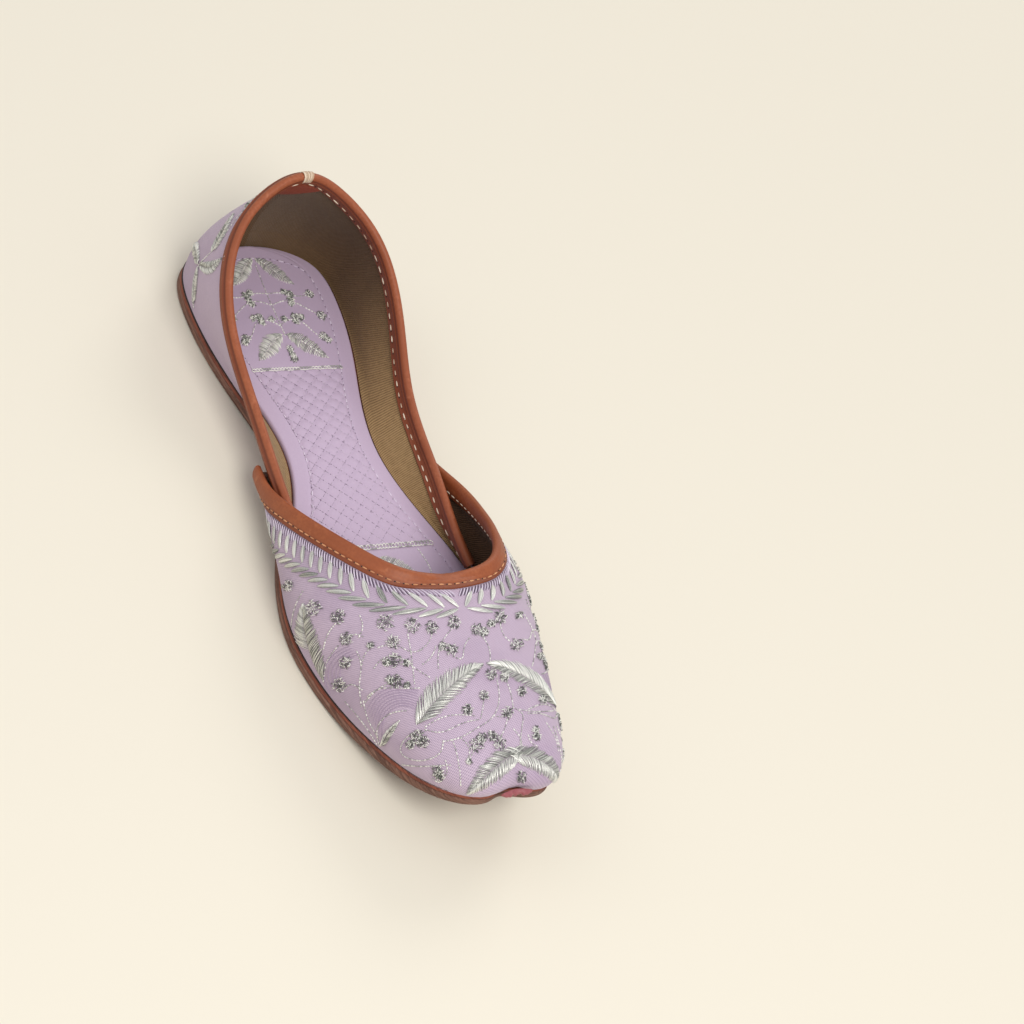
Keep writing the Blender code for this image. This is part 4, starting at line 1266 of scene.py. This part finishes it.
silverWork, stemWork, fanWork = Threads(), Threads(), Threads()
for axis, leftWidth, rightWidth in featherLeaves:
    featherLeaf(silverWork.mirrored, onVamp, axis, leftWidth, rightWidth, pixel)
for across, below, radius in beadClusters:
    coilCluster(silverWork, onVamp, across, below, radius, pixel, mirrorIf=hiddenOnVamp)
for stem in dottedStems:
    stemLine(stemWork, onVamp, stem, vampWork["base"], pixel, hiddenOnVamp)
for count, first, second in fanArcs:
    for share in np.linspace(0, 1, count):
        arc = np.array(first) * (1 - share) + np.array(second) * share
        stemLine(fanWork, onVamp, arc, vampWork["base"] - vampWork["fanDrop"], pixel, hiddenOnVamp)

# Herringbone border and overlock ticks under the binding
border = {"pitch": 0.0044, "upper": (0.0066, 0.0121), "lower": (0.0162, 0.0128), "run": (0.0040, 0.0070),
          "strands": 6, "gap": 0.00026, "thread": 0.00017, "from": 0.0012, "short": 0.004}
ticks = {"pitch": 0.00115, "from": 0.0006, "top": 0.0052, "bottom": 0.0079, "slant": 0.0020,
         "thread": 0.00024, "rise": 0.00028, "sunk": 0.00012}


def leafBundle(threads, chart, start, end, tone):
    along = np.array([end[0] - start[0], end[1] - start[1]])
    across = np.array([-along[1], along[0]]) / np.linalg.norm(along)
    steps = np.linspace(0, 1, 6)
    for k in range(border["strands"]):
        offset = (k - (border["strands"] - 1) / 2) * border["gap"]
        bow = offset * np.sin(math.pi * np.clip(steps, 0.04, 0.96)) ** 0.6
        path = np.array(start) + along * steps[:, None] + across * bow[:, None]
        full = 1.15 - abs(offset) * 600
        lifts = vampWork["base"] + vampWork["rise"] * np.sin(math.pi * steps) ** 0.6 * full
        threads.mirrored(chart.at(path[:, 0], path[:, 1], lifts), border["thread"],
                         tone * chance.choice((0.45, 0.7, 0.9, 1.05)), 0.45)


at = border["from"]
while at < throatChart.length - border["short"]:
    wander = chance.uniform(-0.0003, 0.0003)
    bright = 0.85 + 0.25 * math.sin(at * 260)
    for (top, bottom), run, foot, share in ((border["upper"], border["run"][0], 0.0, 1.0),
                                            (border["lower"], border["run"][1], 0.0004, 0.7)):
        leafBundle(silverWork, throatChart, (at + run + wander, top), (at + foot, bottom), bright * share)
    at += border["pitch"]

tickWork, tickShade = Threads(), Threads()
steps = np.linspace(0, 1, 5)
depth = ticks["top"] + (ticks["bottom"] - ticks["top"]) * steps
lift = vampWork["base"] + ticks["rise"] * np.sin(math.pi * steps)
at = ticks["from"]
while at < throatChart.length:
    path = at + ticks["slant"] * (1 - steps)
    tickWork.mirrored(throatChart.at(path, depth, lift), ticks["thread"], chance.uniform(0.4, 1.0), 0.6)
    # Dark threads sunk between the ticks, painted shade in the gaps.
    tickShade.mirrored(throatChart.at(path + ticks["pitch"] / 2, depth, vampWork["base"] - ticks["sunk"]),
                       ticks["thread"] * 0.9, chance.uniform(0.0, 0.6), 0.6)
    at += ticks["pitch"] * chance.uniform(0.92, 1.08)

sweep("vamp_silver_work", silverWork, silverThread)
stitchAlong("vamp_stems", stemWork, silverThread, 3, 0.00110, 0.00100, 0.00052)
sweep("vamp_fan_lines", fanWork, duskThread, 4)
sweep("vamp_ticks", tickWork, lilacThread)
sweep("vamp_tick_shade", tickShade, shadeThread, 4)
print("vamp embroidered")


# Stitches and embroidery on the insole, placed by metres along and across the shoe
insoleWork = {"base": 0.00010, "thread": 0.00018, "rise": 0.00030, "pitch": 0.00052, "loop": 0.00015}
chain = {"link": 0.00125, "base": 0.00018, "rise": 0.00018, "thread": 0.00019, "past": 0.0004}
soleLeaves = (
    (((-0.1152, 0.0008), (-0.1125, 0.0042), (-0.1079, 0.0077), (-0.1032, 0.0122)), 0.0030, 0.0034),
    (((-0.0799, 0.0010), (-0.0775, 0.0052), (-0.0733, 0.0094), (-0.0690, 0.0138)), 0.0038, 0.0036),
    (((0.0185, 0.0012), (0.0205, 0.0052), (0.0240, 0.0095), (0.0275, 0.0140)), 0.0030, 0.0034),
)
soleTwigs = (
    ((-0.0991, 0.0006), (-0.0992, 0.0055), (-0.0976, 0.0118), (-0.0980, 0.0165)),
    ((-0.0939, 0.0007), (-0.0956, 0.0066), (-0.0915, 0.0140), (-0.0882, 0.0180)),
    ((-0.0844, 0.0003), (-0.0868, 0.0045), (-0.0860, 0.0088), (-0.0808, 0.0125), (-0.0775, 0.0158)),
    ((0.0300, 0.0008), (0.0330, 0.0060), (0.0400, 0.0085)),
    ((0.0160, 0.0180), (0.0230, 0.0195), (0.0300, 0.0180), (0.0350, 0.0140)),
)
soleBlobs = (
    (-0.0983, 0.0170, 0.0018), (-0.0882, 0.0184, 0.0020), (-0.0787, 0.0157, 0.0018),
    (-0.0770, 0.0170, 0.0014), (-0.0994, 0.0070, 0.0013), (-0.0985, 0.0092, 0.0013),
    (-0.0962, 0.0086, 0.0014), (-0.0941, 0.0080, 0.0012), (-0.0881, 0.0072, 0.0016),
    (-0.0878, 0.0096, 0.0014), (-0.0858, 0.0070, 0.0013), (-0.0872, 0.0026, 0.0012),
    (0.0345, 0.0060, 0.0016), (0.0400, 0.0085, 0.0018),
)
soleMiddle = ((-0.0735, 0.0014), (-0.0712, 0.0013), (-0.0690, 0.0015))
soleSpine = ((-0.1120, 0.0), (-0.1000, -0.0002), (-0.0900, 0.0), (-0.0800, 0.0003))


def onInsole(points, lifts):
    x, y = np.asarray(points).T
    return np.column_stack([x, y, insoleTop(x, y) + insoleRelief(x, y) + lifts])


def quiltLines():
    lines = []
    for sign, phase in zip((1, -1), quilt["phases"]):
        step = quilt["cell"] * math.sqrt(2)
        for k in range(-12, 24):
            y = np.linspace(-0.035, 0.035, 700)
            x = phase + k * step - sign * y
            spare = insoleHalfWidth(x) - quilt["margin"] - np.abs(y)
            keep = (spare > 0.0002) & (x > quilt["from"] + 0.0004) & (x < quilt["to"] - 0.0004)
            for run in np.split(np.flatnonzero(keep), np.flatnonzero(np.diff(np.flatnonzero(keep)) > 1) + 1):
                if len(run) > 25:
                    lines.append(np.column_stack([x[run], y[run]])[::6])
    return lines


quiltWork, edgeWork, chainWork, twigWork, soleSilver = (Threads() for _ in range(5))
for line in quiltLines():
    quiltWork.guide(onInsole(line, insoleWork["base"]))
rimLine, _ = outlineAt(last["insoleInset"] + quilt["margin"], np.linspace(0, 0.72, 260))
edgeWork.mirrored(onInsole(rimLine[:, :2], insoleWork["base"]), 0.0002, 0.7)
for x, wide in ((quilt["from"], 0.00085), (quilt["to"], 0.0013)):
    reach = float(insoleHalfWidth(x)) - quilt["margin"] + chain["past"]
    links = int(2 * reach / chain["link"])
    for i in range(links):
        y = -reach + (i + 0.5) * 2 * reach / links
        for side in (-1, 1):
            bow = np.array([(x + side * wide * 0.15, y - 0.0008), (x + side * wide * 0.75, y - 0.0001),
                            (x + side * wide * 0.10, y + 0.0009)])
            lifts = chain["base"] + chain["rise"] * np.sin(np.linspace(0, math.pi, 5))
            chainWork.add(onInsole(smoothLine(bow, 5), lifts), chain["thread"],
                          chance.choice((0.3, 0.9, 1.1)), 0.6)
stemLift = insoleWork["base"] + 0.0002
for axis, leftWidth, rightWidth in soleLeaves:
    featherLeaf(soleSilver.mirrored, onInsole, axis, leftWidth, rightWidth, 1.0, insoleWork, 0.05)
    for side in (1, -1):
        stemLine(twigWork, onInsole, smoothLine(axis, 9) * np.array([1, side]), stemLift, 1.0)
for twig in soleTwigs:
    for side in (1, -1):
        stemLine(twigWork, onInsole, np.array(twig) * np.array([1, side]), insoleWork["base"], 1.0)
stemLine(twigWork, onInsole, soleSpine, insoleWork["base"], 1.0)
for x, y, radius in soleBlobs:
    for side in (1, -1):
        coilCluster(soleSilver, onInsole, x, y * side, radius, 1.0, insoleWork)
for x, radius in soleMiddle:
    coilCluster(soleSilver, onInsole, x, 0.0, radius, 1.0, insoleWork)

# The quilt and edge hole rows are short dark beads between the stitches, painted shade in the needle holes.
# name, thread, finish and seed; then pitch, length, width and offset in metres
for row in (
    ("quilt_stitches", quiltWork, quiltThread, 5, 0.0021, 0.0016, 0.00040),
    ("quilt_holes", quiltWork, shadeThread, 6, 0.0021, 0.0005, 0.00036, 0.00105),
    ("edge_stitches", edgeWork, lilacThread, 7, 0.0028, 0.0021, 0.00048),
    ("edge_holes", edgeWork, shadeThread, 8, 0.0028, 0.0006, 0.00042, 0.0014),
):
    stitchAlong(*row)
sweep("insole_chains", chainWork, brightenedSilver)
sweep("insole_silver_work", soleSilver, brightenedSilver)
stitchAlong("insole_twigs", twigWork, brightenedSilver, 9, 0.00115, 0.00105, 0.00050)
print("insole embroidered")


# Seams of the bindings, the heel's joint and the sprig on the quarters
seam = {"throatDepth": 0.0034, "collarDepth": 0.0043, "face": 0.00162}
joint = {"stitches": 9, "gap": 0.00042, "low": 0.0006, "high": 0.0029, "half": 0.00185, "thread": 0.00022}


def seamLine(threads, chart, depth, lift, start, end, inside=lambda along: 1.0):
    along = np.linspace(start, end, 240)
    threads.guide(chart.at(along, depth * inside(along), lift))


throatSeam, throatInner, collarSeam, heelJoint = (Threads() for _ in range(4))
reach = throatChart.length - 0.002
seamLine(throatSeam, throatChart, seam["throatDepth"], seam["face"], -reach, reach)
seamLine(throatInner, throatChart, seam["throatDepth"], -seam["face"], -reach, reach)
reach = collarChart.length - 0.003
for side in (1, -1):
    ends = 0.004 * side, reach * side
    seamLine(collarSeam, collarChart, seam["collarDepth"], -seam["face"], *ends, heelShare)
# The throat and collar hole rows are short dark beads between the stitches, painted shade in the needle
# holes.
for row in (
    ("throat_stitches", throatSeam, tanThread, 11, 0.0030, 0.0023, 0.00052),
    ("throat_holes", throatSeam, holeShade, 12, 0.0030, 0.0008, 0.00050, 0.0015),
    ("throat_inner_stitches", throatInner, creamThread, 16, 0.0030, 0.0021, 0.00048),
    ("collar_stitches", collarSeam, creamThread, 13, 0.0042, 0.0026, 0.00058),
    ("collar_holes", collarSeam, holeShade, 14, 0.0042, 0.0007, 0.00048, 0.0021),
):
    stitchAlong(*row)

angles = np.linspace(-0.2, math.pi + 0.2, 9)
depth, lift = joint["low"] - joint["high"] * np.sin(angles), joint["half"] * np.cos(angles)
for i in range(joint["stitches"]):
    along = (i - joint["stitches"] // 2) * joint["gap"] + chance.uniform(-0.0001, 0.0001)
    heelJoint.add(collarChart.at(along, depth, lift), joint["thread"], chance.uniform(0.0, 0.7), 0.8)
sweep("heel_joint", heelJoint, creamThread)

# metres round from the back seam and metres up the wall; then the half widths
sprigLeaves = (
    (((0.0395, 0.0170), (0.0335, 0.0160), (0.0270, 0.0105)), 0.0024, 0.0026),
    (((0.0395, 0.0180), (0.0430, 0.0235), (0.0432, 0.0320)), 0.0028, 0.0026),
    (((0.0375, 0.0265), (0.0310, 0.0320), (0.0225, 0.0340)), 0.0024, 0.0022),
    (((0.0500, 0.0045), (0.0455, 0.0105), (0.0400, 0.0168)), 0.0016, 0.0016),
)
sprigStem = ((0.0505, 0.0035), (0.0397, 0.0170), (0.0368, 0.0270), (0.0270, 0.0375), (0.0170, 0.0420))
sprigBlobs = ((0.0170, 0.0425, 0.0018), (0.0200, 0.0400, 0.0014), (0.0450, 0.0345, 0.0014))


def onQuarter(points, lifts):  # found from the foot outline and the height, then lifted out of the wall
    footing, _ = outlineAt(last["featherInset"], np.linspace(0, outlineShare(tailTo), 200))
    along, shares = lengthAlong(footing), np.linspace(0, 1, 200)
    steps = np.linspace(0, 1, 40)
    places = []
    for (around, height), lift in zip(points, np.broadcast_to(lifts, len(points))):
        station = [float(np.interp(around, along, shares))]
        wall = quarterWall(station, steps)[0]
        step = np.interp([height], wall[:, 2] - wall[0, 2], steps)
        place, normal, _, _ = quarterTree.find_nearest(Vector(quarterWall(station, step)[0, 0]))
        normal = normal if normal.dot(Vector((place.x + 0.09, place.y, 0))) > 0 else -normal
        places.append(np.array(place + normal * float(lift)))
    return np.array(places)


sprigWork, sprigLine = Threads(), Threads()
for axis, leftWidth, rightWidth in sprigLeaves:
    featherLeaf(sprigWork.mirrored, onQuarter, axis, leftWidth, rightWidth, 1.0, slant=0.10)
sprigLine.mirrored(onQuarter(smoothLine(sprigStem, 40), vampWork["base"]), 0.0002, 0.7)
for around, height, radius in sprigBlobs:
    coilCluster(sprigWork, onQuarter, around, height, radius, 1.0, mirrorIf=lambda places: True)
sweep("quarter_sprigs", sprigWork, silverThread)
stitchAlong("quarter_stems", sprigLine, silverThread, 15, 0.0011, 0.0010, 0.00052)

# Painted shadow: a dark cord laid along the gap where the upper meets the sole
foot = {"inset": 0.0006, "rise": 0.0001, "radius": 0.00042}
footPlaces, _ = outlineAt(foot["inset"], np.linspace(0, 0.985, 300))
footPlaces[:, 2] = featherHeight(footPlaces[:, 0]) + foot["rise"]
footPlaces[:, 0] -= notchAt(footPlaces[:, 0], footPlaces[:, 1])
footShadowLine = Threads()
footShadowLine.mirrored(footPlaces, foot["radius"], 0.1, 0.95)
sweep("foot_shadow_line", footShadowLine, holeShade)
print("seams sewn")


# Sheets the shells were made from are no longer needed
for spare in (vampSheet, quarterSheet):
    bpy.data.objects.remove(spare)

# Floor, soft studio light and the camera at the photo's angle to the shoe
floorSize = 6.0
floorCorners = [(x * floorSize, y * floorSize, 0) for x, y in ((-1, -1), (1, -1), (1, 1), (-1, 1))]
floorMesh = newObject("studio_floor", floorCorners, [(0, 1, 2, 3)])
paper = Finish("pale_paper")
floorMesh.data.materials.append(paper.finish(colour=shade(227, 221, 206), roughness=0.9, specular=0.1))

turn = Matrix((right, -down, -toward)).transposed()
cameraData = bpy.data.cameras.new("photo_camera")
cameraData.sensor_width = 36.0
cameraData.lens = cameraData.sensor_width * focal / (2 * middle)
camera = linked("photo_camera", cameraData)
camera.matrix_world = Matrix.Translation(eye) @ turn.to_4x4()
bpy.context.scene.camera = camera


def softLight(name, place, size, energy, colour):
    light = bpy.data.lights.new(name, "AREA")
    light.shape, light.size, light.energy, light.color = "DISK", size, energy, colour
    lamp = linked(name, light)
    lamp.location = place
    lamp.rotation_euler = (Vector((0, 0, 0.02)) - Vector(place)).to_track_quat("-Z", "Y").to_euler()


softLight("key_light", (0.9, -0.2, 1.3), 0.9, 15.0, (1.0, 0.97, 0.93))
softLight("fill_light", (-0.6, -1.2, 1.2), 1.2, 3.0, (0.97, 0.98, 1.0))
softLight("rim_light", (-0.8, 0.9, 1.0), 0.8, 5.0, (1.0, 0.98, 0.95))
world = bpy.data.worlds.new("studio_air")
world.use_nodes = True
air = world.node_tree.nodes["Background"].inputs
air["Color"].default_value, air["Strength"].default_value = (0.95, 0.95, 0.97, 1.0), 0.60
bpy.context.scene.world = world
bpy.context.scene.view_settings.view_transform = "Standard"
print("studio lit")
